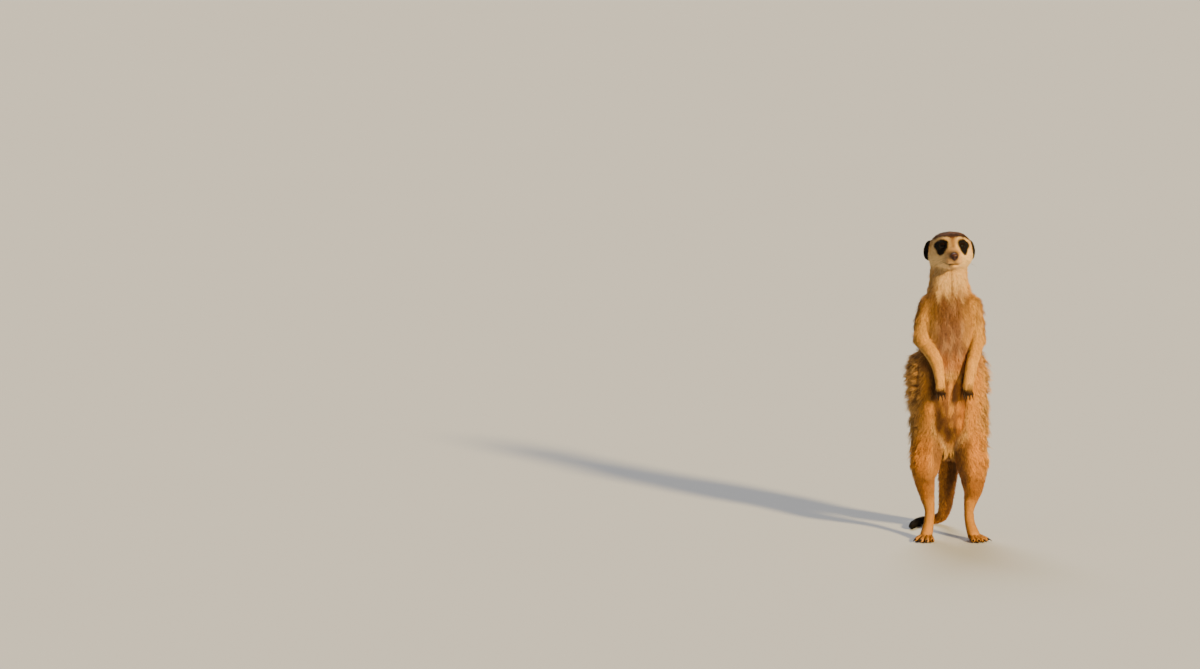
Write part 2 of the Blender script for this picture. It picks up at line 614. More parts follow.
def grid_field(xs, ys, zs):
    """The skin's field on the grid, part by part in its own box."""
    F = np.full((len(xs), len(ys), len(zs)), 60.0)
    for p in PARTS:
        lo, hi = p.lo - 6, p.hi + 6
        i0, i1 = np.searchsorted(xs, lo[0]), np.searchsorted(xs, hi[0])
        j0, j1 = np.searchsorted(ys, lo[1]), np.searchsorted(ys, hi[1])
        k0, k1 = np.searchsorted(zs, lo[2]), np.searchsorted(zs, hi[2])
        i0, j0, k0 = max(i0, 0), max(j0, 0), max(k0, 0)
        X, Y, Z = np.meshgrid(xs[i0:i1], ys[j0:j1], zs[k0:k1], indexing="ij")
        Q = np.stack([X.ravel(), Y.ravel(), Z.ravel()], 1)
        sub = F[i0:i1, j0:j1, k0:k1]
        d, t = p.at(Q)
        sub[...] = smin(sub.ravel(), d + p.depth(Q, t), blend_of(p, Q)).reshape(sub.shape)
    k0 = np.searchsorted(zs, 255)
    X, Y, Z = np.meshgrid(xs, ys, zs[k0:], indexing="ij")
    Q = np.stack([X.ravel(), Y.ravel(), Z.ravel()], 1)
    head = F[:, :, k0:]
    head[...] = (face_detail(Q, head.ravel()) + throat_groove(Q)).reshape(head.shape)
    return smax(F, (0.25 - zs)[None, None, :], 0.3)


def build_skin():
    xs = axis_steps([(-54, 1.5), (-30, 0.82), (34, 1.5), (52, 0)])
    ys = axis_steps([(-50, 0.74), (33, 1.6), (113, 0)])
    zs = axis_steps([(-1.2, 0.8), (13, 1.9), (146, 1.0), (176, 1.9), (283, 0.67), (332, 0)])
    values = grid_field(xs, ys, zs)
    v, q = surface(xs, ys, zs, values)
    v = relax(v, q, 3, 0.55)
    for _ in range(2):
        f, g = gradient(skin_field, v)
        step = f / np.maximum((g * g).sum(1), 0.2)
        v = v - np.clip(step, -0.8, 0.8)[:, None] * g
    v = relax(v, q, 1, 0.3)
    v[:, 2] = np.maximum(v[:, 2], 0.0)
    return v, q


# ------------------------------------------------------------------ markings, shared by skin and coat
def col(r, g, b):
    c = np.array([r, g, b]) / 255.0
    return np.where(c <= 0.04045, c / 12.92, ((c + 0.055) / 1.055) ** 2.4)


CREAM, PALE, SAND, GOLD = col(252, 219, 162), col(246, 190, 102), col(226, 162, 82), col(240, 149, 50)
TAN, BROWN, DARK, BLACK = col(168, 118, 66), col(112, 73, 42), col(56, 36, 23), col(22, 18, 16)
BELLY, GREY, RUST = col(164, 112, 68), col(182, 154, 120), col(146, 92, 54)
SKIN_PINK = col(150, 108, 88)


def part_weights(P, sharp=1.3):
    G = np.full((len(PARTS), len(P)), 60.0)
    T = np.zeros((len(PARTS), len(P)))
    for i, p in enumerate(PARTS):
        m = np.all((P > p.lo - 6) & (P < p.hi + 6), axis=1)
        if m.any():
            d, t = p.at(P[m])
            G[i, m] = d + p.depth(P[m], t)
            T[i, m] = t
    W = np.exp(-(G - G.min(0)) / sharp)
    W[G > 50] = 0
    return W / W.sum(0), T


def blend(c1, c2, k):
    return c1 + (c2 - c1) * k[:, None]


def rep(c, n):
    return np.tile(np.asarray(c, float), (n, 1))


def trunk_colours(P, N):
    n = len(P)
    tr = BY["trunk"]
    z, cx, w, cy, d = tr.shape(P)
    nx, ny = (P[:, 0] - cx) / w, (P[:, 1] - cy) / d
    a = np.hypot(nx, ny) + 1e-6
    brush = flank_tufts(P)
    front, back = ramp(-ny / a, 0.35, 0.86) * (1 - 0.9 * brush), ramp(ny / a, -0.1, 0.7)
    wob = noise(P, 26, 1)
    fine = noise(P, 7, 2)
    streak = noise(P * np.array([1, 1, 0.35]), 5, 5)
    tip, root = blend(rep(col(216, 152, 82), n), rep(col(252, 200, 118), n), 0.35 + 0.6 * ramp(fine, -0.6, 0.6)), rep(DARK * 1.05, n)
    # shoulders and upper back are greyer
    tip = blend(tip, rep(SAND, n), ramp(z + 6 * wob, 186, 214))
    tip, root = blend(tip, rep(GREY * 1.16, n), back * 0.75), blend(root, rep(BROWN * 0.8, n), back * 0.75)
    # broken bands across the back, fading to the sides and the shoulders
    phase = (z + 6.5 * wob + 2.5 * noise(P, 12, 8) + 5 * ramp(np.abs(nx), 0.2, 0.9)) / 14.5
    band = ramp(np.sin(phase * 2 * math.pi) + 0.5 * fine + 0.35 * noise(P, 15, 9), -0.1, 0.8)
    band = band * ramp(ny / a, 0.15, 0.75) * ramp(z, 232, 205) * ramp(z, 92, 104)
    tip, root = blend(tip, rep(BROWN * 0.8, n), band * 0.85), blend(root, rep(DARK, n), band * 0.8)
    # chest: grey-brown with paler strands; lower down sandy, with browner hollows
    under = blend(rep(col(148, 106, 78) * 0.86, n), rep(col(204, 160, 124) * 0.8, n), ramp(streak + 0.25 * fine, -0.3, 0.9))
    dim = bump(P[:, 0], 1.5, 8) * bump(z, 218, 20) + 0.8 * bump(P[:, 0], -12, 5) * bump(z, 232, 13)
    under = blend(under, rep(BROWN * 1.1, n), 0.45 * np.clip(dim, 0, 1))
    under = blend(under, rep(BROWN * 1.1, n), 0.66 * ramp(z, 226, 242))
    under = blend(under, rep(PALE * 0.92, n), 0.5 * bump(np.abs(nx), 0.62, 0.2) * ramp(z, 205, 215) * ramp(z, 262, 250))
    under = blend(under, rep(GOLD * 0.8, n), 0.34 * ramp(z, 210, 190) + 0.12 * bump(np.abs(nx), 0.75, 0.2))
    under_root = 0.78 * under + 0.06 * BROWN
    k = front * ramp(z, 176, 192)
    tip, root = blend(tip, under, k), blend(root, under_root, k)
    # the fronts of the thighs: short, smooth and golden
    thigh = front * ramp(z, 190, 176) * ramp(np.abs(P[:, 0] + 0.5), 17, 21) * ramp(np.abs(P[:, 0]), 40, 33)
    tip, root = blend(tip, rep(GOLD * 0.66 + PALE * 0.22, n), 0.85 * thigh), blend(root, rep(SAND * 0.68, n), 0.85 * thigh)
    # the bare strip of belly behind them: brown, thin-haired, with paler strands at the middle line
    hollow = belly_hollow(P)
    bel = blend(rep(BELLY * 0.86, n), rep(SAND * 0.9, n), ramp(streak, -0.3, 0.8))
    bel = blend(bel, rep(GOLD * 0.85, n), 0.5 * ramp(P[:, 0], 4, 11))
    bel = blend(bel, rep(SAND * 0.95, n), 0.6 * bump(P[:, 0], 2, 3.2) * ramp(streak, -0.6, 0.3))
    bel = blend(bel, rep(BROWN * 0.46, n), 0.92 * bump(P[:, 0], -11, 7) * bump(z, 130, 22))
    bel = blend(bel, rep(BROWN * 0.46, n), 0.92 * bump(P[:, 0], 0, 9) * bump(z, 116, 13))
    bel = blend(bel, rep(PALE, n), 0.7 * bump(P[:, 0], 0, 9) * ramp(z, 99, 93))
    for px, pz in ((-11, 137), (10, 134), (-10, 113), (9.5, 112)):
        bel = blend(bel, rep(BROWN * 0.55, n), 0.7 * np.exp(-(((P[:, 0] - px) / 1.7) ** 2 + ((z - pz) / 2.2) ** 2)))
    tip, root = blend(tip, bel, hollow), blend(root, bel * 0.78, hollow)
    # pale brushes where the thighs meet, a V open upwards
    vee = bump(np.abs(P[:, 0] - 0.5) - 1.5 - np.maximum(z - 92, 0) * 0.42, 0.8, 2.6) * ramp(z, 120, 102) * front
    vee = np.maximum(vee, 0.8 * ramp(z, 97, 92) * bump(P[:, 0], 0, 13) * ramp(-P[:, 1], -24, -8))
    tip, root = blend(tip, rep(CREAM * 0.86, n), 0.7 * vee), blend(root, rep(TAN, n), 0.65 * vee)
    # shaded hollows beside the forearms
    for arm, sgn in (("forearm_r", -1), ("forearm_l", -1)):
        c = BY[arm].chains[0]
        mid = np.interp(z, c[::-1, 2], c[::-1, 0])
        off = (P[:, 0] - mid) * sgn
        wide = 9.0 if arm == "forearm_r" else 3.6
        side_k = ramp(off, 0, 3) * ramp(off, 6 + wide, 7) * ramp(z, 140, 156) * ramp(z, 208, 196) * ramp(-P[:, 1], 12, 20)
        tip, root = blend(tip, rep(DARK * 0.95, n), 0.86 * side_k), blend(root, rep(DARK * 0.6, n), 0.9 * side_k)
    # dark hollows above the collar bones
    side = np.where(P[:, 0] > 0, bump(P[:, 0], 14.5, 3.6) * bump(z, 254, 8), 0.75 * bump(P[:, 0], -13.5, 4) * bump(z, 247, 8)) * front
    tip, root = blend(tip, rep(BROWN * 0.95, n), 0.75 * side), blend(root, rep(DARK, n), 0.5 * side)
    # grizzled brown over the points of the shoulders
    point = ramp(np.abs(nx), 0.5, 0.85) * ramp(z, 268, 254) * ramp(z, 206, 226) * np.where(P[:, 0] < 0, 0.85, 0.4) * ramp(fine + 0.4 * wob, -1.2, 0.4)
    tip, root = blend(tip, rep(BROWN * 0.6, n), 0.88 * point), blend(root, rep(DARK, n), 0.7 * point)
    # throat: cream in front, sandy at the sides, brown-grey behind
    k = ramp(z + 4 * wob + 2 * fine + 5 * streak * front + 5 * ramp(nx, 0.35, 0.8) * front, 249, 279)
    neck = blend(rep(CREAM, n), rep(PALE, n), ramp(ny / a, -0.75, 0.0))
    neck = blend(neck, rep(GREY * 0.85, n), ramp(ny / a, 0.0, 0.75))
    neck = blend(neck, rep(BROWN * 1.1, n), 0.5 * ramp(P[:, 0], -9, -16) * ramp(ny / a, -0.95, -0.6) * ramp(z, 294, 284))
    tip = blend(tip, neck, k)
    root = blend(root, blend(rep(SAND * 0.8, n), rep(BROWN * 0.8, n), ramp(ny / a, -0.4, 0.5)), k)
    line = bump(P[:, 0], 1.2 + (286 - z) * 0.07, 0.95) * ramp(z, 259, 268) * front
    tip, root = blend(tip, rep(BROWN * 0.9, n), 0.75 * line), blend(root, rep(BROWN * 0.6, n), 0.7 * line)
    grizzle = 0.2 - 0.12 * front + 0.42 * back * ramp(z, 120, 150) + 0.35 * (1 - front) * ramp(z, 205, 190) + 0.25 * ramp(z, 225, 245) * ramp(z, 268, 258)
    return tip, root, np.clip(grizzle, 0, 0.8)


def head_colours(P, N):
    n = len(P)
    L = to_head(P)
    x, a, u = L[:, 0], L[:, 1], L[:, 2]
    ax = np.abs(x)
    wob, fine = noise(P, 9, 1), noise(P, 3.2, 3)
    tip, root = rep(CREAM, n), blend(rep(PALE * 0.9, n), rep(PALE * 0.66, n), ramp(a, 26, 46))
    # crown and nape
    brow = 19.4 + 0.10 * ax - 1.3 * bump(ax, 0, 3.4) - 0.9 * bump(ax, 12.5, 4) - 5.5 * ramp(a, 27, 48)
    edge = 0.7 + 2.2 * ramp(a, 26, 42)
    crown = ramp(u + 0.5 * wob + 0.5 * fine, brow - edge, brow + edge * 1.2) * ramp(a, 18, 24)
    nape = ramp(a + 2 * wob, 54, 63)
    crown = np.maximum(crown, nape)
    crown_c = blend(rep(col(116, 74, 48), n), rep(col(50, 31, 21), n), ramp(fine + 0.6 * wob, -0.5, 0.5))
    crown_c = blend(crown_c, rep(col(60, 38, 27), n), ramp(a, 40, 24) * 0.5)
    crown_c = blend(crown_c, rep(GREY * 0.8, n), ramp(u, 10, -4) * 0.85)
    # side of the head behind the eye
    behind = ramp(a, 36, 46) * ramp(u, 0, 9) * (1 - crown)
    tip = blend(tip, rep(SAND, n), 0.7 * behind)
    temple = ramp(ax, 13, 17) * ramp(u, 8, 13) * ramp(a, 30, 38)
    tip, root = blend(tip, rep(TAN * 0.95, n), 0.5 * temple * ramp(fine, -0.7, 0.5)), blend(root, rep(BROWN, n), 0.6 * temple)
    tip, root = blend(tip, crown_c, crown), blend(root, rep(DARK * 1.1, n), crown)
    # dark line along the brow's top edge
    v = bump(u, brow + 0.9, 1.25) * ramp(a, 18, 24) * ramp(a, 46, 36) * ramp(ax, 17, 13)
    tip, root = blend(tip, rep(DARK * 1.15, n), 0.9 * v), blend(root, rep(DARK * 0.7, n), 0.8 * v)
    # the strip between the brows, down to the bridge
    strip = bump(x, 0, 1.9 + 0.2 * np.maximum(u - 8, 0)) * ramp(u, 4.5, 9.5) * ramp(a, 10, 16) * ramp(u, 21.5, 18) * ramp(a, 40, 34)
    tip, root = blend(tip, rep(RUST * 0.85, n), 0.8 * strip), blend(root, rep(BROWN * 0.8, n), 0.7 * strip)
    # muzzle
    snout = ramp(a, 20, 9)
    tip = blend(tip, rep(col(206, 162, 118), n), 0.75 * snout)
    top = ramp(a, 20, 6) * ramp(u - 0.35 * ax, -1.5, 2.5)
    tip = blend(tip, rep(BROWN * 1.05, n), 0.85 * top)
    dn = np.sqrt(x * x + (a - 1.6) ** 2 + (u - 0.8) ** 2)
    near_nose = np.exp(-(dn / 6.6) ** 4) * (0.75 + 0.25 * ramp(u, -3, 1))
    tip, root = blend(tip, rep(BROWN * 0.66, n), 0.85 * near_nose), blend(root, rep(DARK, n), 0.8 * near_nose)
    core = ramp(dn, 4.6, 3.8)
    tip, root = blend(tip, rep(BLACK * 0.6, n), core), blend(root, rep(BLACK * 0.5, n), core)
    pads = bump(ax, 5.2, 2.4) * bump(u, -4, 2.6) * ramp(a, 17, 11)
    tip = blend(tip, rep(col(176, 138, 108), n), 0.5 * pads)
    line = -7.1 - 0.16 * a + 0.012 * a * a
    lip = bump(u, line - 0.2, 1.05) * ramp(a, 24, 18)
    tip, root = blend(tip, rep(DARK * 1.2, n), 0.85 * lip), blend(root, rep(DARK, n), 0.85 * lip)
    # patches round the eyes, drawn out downwards
    for s in (1, -1):
        c, g, h, vv = eye_frame(s)
        q = L - c
        p, w, t = q @ h * -s, q @ vv, q @ g
        # p grows away from the nose
        drop = np.sqrt(((p - 0.3) / 6.9) ** 2 + ((w + 0.1) / 6.1) ** 2)
        tail = np.sqrt(((p + 0.4 + 0.16 * w) / 4.4) ** 2 + ((w + 4.4) / 4.7) ** 2)
        corner = np.sqrt(((p - 6.4) / 3.4) ** 2 + ((w - 1.2) / 3.0) ** 2)
        d = smin(smin(drop, tail, 0.5), corner, 0.4) + 0.06 * fine
        halo = ramp(d, 1.34, 1.04) * ramp(t, -6.0, -3.0)
        tip, root = blend(tip, rep(BROWN, n), 0.6 * halo), blend(root, rep(BROWN * 0.6, n), 0.6 * halo)
        k = ramp(d, 1.14, 0.94) * ramp(t, -6.0, -3.0)
        tip, root = blend(tip, rep(BLACK * 0.8, n), k), blend(root, rep(BLACK * 0.6, n), k)
    # the jaw's lower edge, over the throat
    jaw = ramp(u, -11.2, -13.2) * ramp(a, 11, 16) * ramp(a, 42, 30)
    tip, root = blend(tip, rep(TAN * 0.6, n), 0.85 * jaw), blend(root, rep(BROWN * 0.5, n), 0.85 * jaw)
    grizzle = 0.05 + 0.35 * crown
    return tip, root, grizzle


def inner_shade(tip, root, Q, s, fine):
    """The inner half of each hind leg's front, grey-brown down to below the knee."""
    x = Q[:, 0] * s
    lim = 20.5 if s > 0 else 17.0
    k = ramp(x + 1.2 * fine, lim + 2, lim - 3) * ramp(Q[:, 2], 50 if s > 0 else 70, 66 if s > 0 else 88) * ramp(Q[:, 2], 122, 108)
    return blend(tip, rep(col(132, 93, 60), len(Q)), 0.8 * k), blend(root, rep(BROWN * 0.6, len(Q)), 0.8 * k)


def coat_colours(P, N, W, T):
    """Tip and root colour of the coat, and how grizzled it is, from place alone."""
    n = len(P)
    tip, root, gz = np.zeros((n, 3)), np.zeros((n, 3)), np.zeros(n)
    for i, p in enumerate(PARTS):
        m = W[i] > 0.02
        if not m.any():
            continue
        Q, M, t, k = P[m], N[m], T[i][m], len(P[m])
        nm = p.name
        fine, wob = noise(Q, 6, 2), noise(Q, 20, 4)
        if nm == "trunk":
            a, b, g = trunk_colours(Q, M)
        elif nm == "head":
            a, b, g = head_colours(Q, M)
        elif nm.startswith("ear"):
            a, b, g = rep(BLACK * 0.95, k), rep(BLACK * 0.6, k), np.zeros(k)
            ea, eu, ef = p.coords(Q)
            base = ramp(ea, -0.25, -0.95)
            a = blend(a, rep(BROWN, k), 0.7 * base)
        elif nm.startswith("upper_arm"):
            outer = ramp(M[:, 0] * (1 if nm.endswith("l") else -1) * 0.6 + M[:, 1], -0.2, 0.7)
            a = blend(rep(PALE, k), rep(SAND, k), outer)
            high = ramp(Q[:, 2], 222, 240)
            a = blend(a, rep(BROWN * (0.66 if nm.endswith("r") else 0.85), k), (0.92 if nm.endswith("r") else 0.5) * np.maximum(outer, 0.8 * high) * ramp(fine + 0.5 * wob, -0.7, 0.4))
            b, g = blend(rep(TAN * 0.75, k), rep(DARK * 1.2, k), outer), 0.18 + 0.5 * outer
        elif nm.startswith("forearm"):
            a = blend(rep(PALE * 1.06, k), rep(SAND, k), ramp(M[:, 1], -0.2, 0.8))
            b, g = rep(SAND * 0.76, k), np.full(k, 0.03)
        elif nm.startswith("hand"):
            low = ramp(Q[:, 2] + 2.6 * fine + 2.2 * noise(Q, 2.2, 6), 172.0, 165.5)
            a = blend(rep(PALE, k), rep(DARK * 1.1, k), low)
            a = blend(a, rep(DARK * 0.6, k), ramp(Q[:, 2], 164, 161))
            b, g = blend(rep(TAN * 0.9, k), rep(DARK * 0.5, k), low), np.full(k, 0.1)
        elif nm.startswith("thigh"):
            s = 1 if nm.endswith("l") else -1
            inner = ramp(M[:, 0] * s, 0.15, -0.45)
            outer = ramp(M[:, 0] * s + 0.5 * M[:, 1], 0.3, 0.95)
            a = blend(rep(GOLD * 0.66 + PALE * 0.24, k), rep(PALE * 0.86, k), outer)
            a = blend(a, rep(SAND * 0.9, k), 0.8 * inner)
            b = blend(rep(TAN * 0.9, k), rep(DARK * 1.7, k), outer)
            g = 0.14 + 0.34 * outer
            back = ramp(M[:, 1], 0.2, 0.8)
            a, b = blend(a, rep(GREY * 0.95, k), 0.5 * back), blend(b, rep(DARK * 1.4, k), 0.7 * back)
            a, b = inner_shade(a, b, Q, s, fine)
        elif nm.startswith("shank"):
            s = 1 if nm.endswith("l") else -1
            inner = ramp(M[:, 0] * s, 0.1, -0.5)
            outer = ramp(M[:, 0] * s + 0.5 * M[:, 1], 0.3, 0.95)
            a = blend(rep(PALE * 0.06 + GOLD * 0.46, k), rep(SAND * 0.6, k), 0.5 * outer)
            a = blend(a, rep(TAN * 1.15, k), 0.6 * inner)
            b, g = blend(rep(TAN * 0.85, k), rep(BROWN * 0.75, k), outer), 0.12 + 0.25 * outer
            b = blend(b, rep(SAND * 0.42, k), ramp(t, 0.35, 0.8))
            a, b = inner_shade(a, b, Q, s, fine)
        elif nm.startswith("foot"):
            a = blend(rep(GOLD * 0.3 + PALE * 0.34, k), rep(SAND * 0.7, k), ramp(fine, -0.3, 0.9))
            sole = ramp(M[:, 2], -0.35, -0.8) * ramp(Q[:, 2], 9, 3)
            a, b, g = blend(a, rep(DARK, k), sole), blend(rep(SAND * 0.52, k), rep(DARK, k), sole), np.full(k, 0.03)
        else:
            top = ramp(M[:, 1] * 0.6 + M[:, 2], -0.3, 0.6)
            a = blend(rep(col(238, 160, 74), k), rep(TAN * 0.95, k), top)
            a = blend(a, rep(BROWN * 0.5, k), 0.9 * ramp(M[:, 0] - 0.3 * M[:, 1], -0.25, 0.35) * ramp(t, 0.75, 0.5))
            b, g = rep(BROWN * 0.45, k), 0.18 + 0.3 * top
            end = ramp(t + 0.02 * wob, 0.70, 0.79)
            a, b, g = blend(a, rep(BLACK * 1.3, k), end), blend(b, rep(BLACK, k), end), g * (1 - end)
        w = W[i][m][:, None]
        tip[m] += w * a
        root[m] += w * b
        gz[m] += W[i][m] * g
    # sparse mottling everywhere
    tone = 1 + 0.07 * noise(P, 11, 0)[:, None] + 0.05 * noise(P, 4, 3)[:, None]
    return np.clip(tip * tone, 0.004, 1), np.clip(root * tone, 0.003, 1), gz


# ------------------------------------------------------------------ meshes
SHIFT = None  # set from the CAD eyes: where the animal's own frame stands in the model's frame, mm


def metres(P):
    return (np.asarray(P, float) + SHIFT) / 1000.0


def new_mesh(name, verts, tris=None, quads=None, colour=None, uv=None, normals=None, material=None, smooth=True):
    faces = tris if tris is not None else quads
    k = faces.shape[1]
    me = bpy.data.meshes.new(name)
    me.vertices.add(len(verts))
    me.vertices.foreach_set("co", metres(verts).astype(F32).ravel())
    me.loops.add(faces.size)
    me.loops.foreach_set("vertex_index", faces.astype(np.int32).ravel())
    me.polygons.add(len(faces))
    me.polygons.foreach_set("loop_start", np.arange(0, faces.size, k, dtype=np.int32))
    me.polygons.foreach_set("use_smooth", np.full(len(faces), smooth))
    me.update(calc_edges=True)
    if colour is not None:
        at = me.color_attributes.new("Col", "FLOAT_COLOR", "POINT")
        c = np.ones((len(verts), 4), F32)
        c[:, :3] = colour
        at.data.foreach_set("color", c.ravel())
    if uv is not None:
        lay = me.uv_layers.new(name="OFBake")
        lay.uv.foreach_set("vector", uv[faces.ravel()].astype(F32).ravel())
    if normals is not None:
        me.normals_split_custom_set_from_vertices(normals.astype(F32))
    ob = bpy.data.objects.new(name, me)
    bpy.context.scene.collection.objects.link(ob)
    if material:
        me.materials.append(material)
    return ob


def vertex_normals(v, f):
    a, b, c = v[f[:, 0]], v[f[:, 1]], v[f[:, 2]]
    fn = np.cross(b - a, c - a)
    if f.shape[1] == 4:
        fn = np.cross(c - a, v[f[:, 3]] - b)
    n = np.zeros_like(v)
    for i in range(f.shape[1]):
        for k in range(3):
            n[:, k] += np.bincount(f[:, i], fn[:, k], len(v))
    return unit(n)


def scatter(v, q, normals, density, seed):
    """Roots spread evenly over the skin, `density` per square mm at each vertex."""
    rng = np.random.default_rng(seed)
    tri = np.vstack([q[:, [0, 1, 2]], q[:, [0, 2, 3]]])
    order = np.argsort(np.concatenate([np.arange(len(q)), np.arange(len(q))]), kind="stable")
    tri = tri[order]
    area = np.linalg.norm(np.cross(v[tri[:, 1]] - v[tri[:, 0]], v[tri[:, 2]] - v[tri[:, 0]]), axis=1) / 2
    load = area * density[tri].mean(1)
    cum = np.cumsum(load)
    n = int(cum[-1])
    at = (np.arange(n) + rng.random(n)) * (cum[-1] / n)
    pick = np.minimum(np.searchsorted(cum, at), len(tri) - 1)
    r1, r2 = np.sqrt(rng.random(n)), rng.random(n)
    bary = np.stack([1 - r1, r1 * (1 - r2), r1 * r2], 1)
    t = tri[pick]
    P = np.einsum("nk,nkc->nc", bary, v[t])
    N = unit(np.einsum("nk,nkc->nc", bary, normals[t]))
    return P, N


def clumps(P, share, rng):
    """Each lock's leader: the nearest of a random few, so that the locks gather in tufts."""
    from mathutils.kdtree import KDTree
    lead = np.where(rng.random(len(P)) < share)[0]  # share may differ from lock to lock
    if len(lead) == 0:
        lead = np.array([0])
    kd = KDTree(len(lead))
    for j, i in enumerate(lead):
        kd.insert(P[i], j)
    kd.balance()
    return lead[np.array([kd.find(p)[1] for p in P])]


def dimmed(c, top):
    """Colours scaled down together where one channel would pass `top`."""
    return np.maximum(c / np.maximum(c.max(axis=1, keepdims=True) / top, 1.0), 0.003)


def tufts(P, N, D, length, height, width, tip, root, grizzle, rng, rings, gather, rough, stand, spread=0.2):
    """Three-sided tapering locks. `gather` draws the tips of a clump together, `rough` sets how unlike the clumps are,
    `stand` how far a tip may reach past the coat's outline. Returns verts, tris, colours and normals."""
    n = len(P)
    soft = (0.58 - 0.24 * ramp(rough, 0.4, 0.95))[:, None]
    lead = clumps(P, 0.13 - 0.065 * ramp(rough, 0.6, 0.95), rng)
    D = D - N * (D * N).sum(1, keepdims=True)
    D = unit(D)
    B = np.cross(N, D)
    ang = rng.normal(0, spread, n) + (rng.normal(0, 1, n) * (0.12 + 0.22 * rough))[lead]
    D, B = D * np.cos(ang)[:, None] + B * np.sin(ang)[:, None], B * np.cos(ang)[:, None] - D * np.sin(ang)[:, None]
    height = height * np.clip(1 + (rng.normal(0, 0.26, n))[lead] * rough * 1.4 - 0.18 * rough, 0.4, 1.25)
    length = length * np.clip(1 + (rng.normal(0, 0.16, n))[lead] * rough, 0.6, 1.4)
    height = np.minimum(height, length * 0.93)
    run = np.sqrt(np.maximum(length ** 2 - height ** 2, (0.2 * length) ** 2))
    curl = rng.normal(0, 0.07, n) * length
    ts = np.array([0.0, 0.52, 1.0]) if rings == 2 else np.array([0.0, 0.34, 0.7, 1.0])
    ws = np.array([1.0, 0.76, 0.0]) if rings == 2 else np.array([0.95, 0.9, 0.55, 0.0])
    tip_at = P + D * run[:, None] + N * height[:, None] + B * curl[:, None]
    proud = np.maximum(1.6 * rough * (rng.random(n) < 0.4)[lead], stand)
    over = np.maximum(coat_field(tip_at) - proud, 0)
    height = np.maximum(height - over * 1.05, np.minimum(height, 0.45))
    tip_at = P + D * run[:, None] + N * height[:, None] + B * curl[:, None]
    pull = (tip_at[lead] - tip_at) * gather[:, None] * np.minimum(1, 0.6 * length / np.maximum(np.linalg.norm(tip_at[lead] - tip_at, axis=1), 1e-6))[:, None]
    per = 3 * rings + 1
    V = np.zeros((n, per, 3))
    Nn = np.zeros((n, per, 3))
    C = np.zeros((n, per, 3))
    dark_tip = (rng.random(n) < grizzle * 0.45)
    pale = rng.random(n) < grizzle * 0.6
    tone = np.exp(rng.normal(0, 0.10, n) + (rng.normal(0, 1, n))[lead] * (0.05 + 0.11 * rough + 0.13 * ramp(rough, 0.6, 0.95)) + np.where(pale, 0.22, 0) - 0.08 * grizzle)
    for j, (t, w) in enumerate(zip(ts, ws)):
        h = height * (1 - (1 - t) ** 1.6) - 0.45 * (1 - t) ** 3
        c = P + D * (run * t)[:, None] + N * h[:, None] + B * (curl * t * t)[:, None] + pull * t ** 1.4
        slope = height * 1.6 * (1 - t) ** 0.6
        up = unit(N * run[:, None] - D * slope[:, None])
        k = (t ** (0.7 + 1.0 * np.clip(rough, 0, 1)))[:, None]
        colour = root * (1 - k) + tip * k
        if j >= len(ts) - 2:
            colour = np.where(dark_tip[:, None], colour * (0.32 if j == len(ts) - 1 else 0.75), colour)
        colour = dimmed(colour * tone[:, None], 0.93)
        if j == rings:
            V[:, -1], C[:, -1] = c, colour
            Nn[:, -1] = unit(mix(up, N, soft))
            break
        half, thick = (width * w * 0.5)[:, None], (width * w * 0.42)[:, None]
        for s, (bx, ux) in enumerate(((-1, -0.35), (1, -0.35), (0, 0.75))):
            V[:, 3 * j + s] = c + B * half * bx + up * thick * ux
            side = unit(B * bx * 0.9 + up * (0.35 if bx else 1.0))
            Nn[:, 3 * j + s] = unit(mix(side, N, soft))
            C[:, 3 * j + s] = colour
    V[:, :, 2] = np.maximum(V[:, :, 2], 0.04 + 0.02 * np.arange(per)[None] / per)
    tri = [(0, 2, 1)]
    for j in range(rings - 1):
        a, b = 3 * j, 3 * j + 3
        for s in range(3):
            s2 = (s + 1) % 3
            tri += [(a + s, a + s2, b + s2), (a + s, b + s2, b + s)]
    a = 3 * (rings - 1)
    for s in range(3):
        tri.append((a + s, a + (s + 1) % 3, per - 1))
    T = (np.arange(n)[:, None, None] * per + np.array(tri)[None]).reshape(-1, 3)
    return V.reshape(-1, 3), T, C.reshape(-1, 3), Nn.reshape(-1, 3)


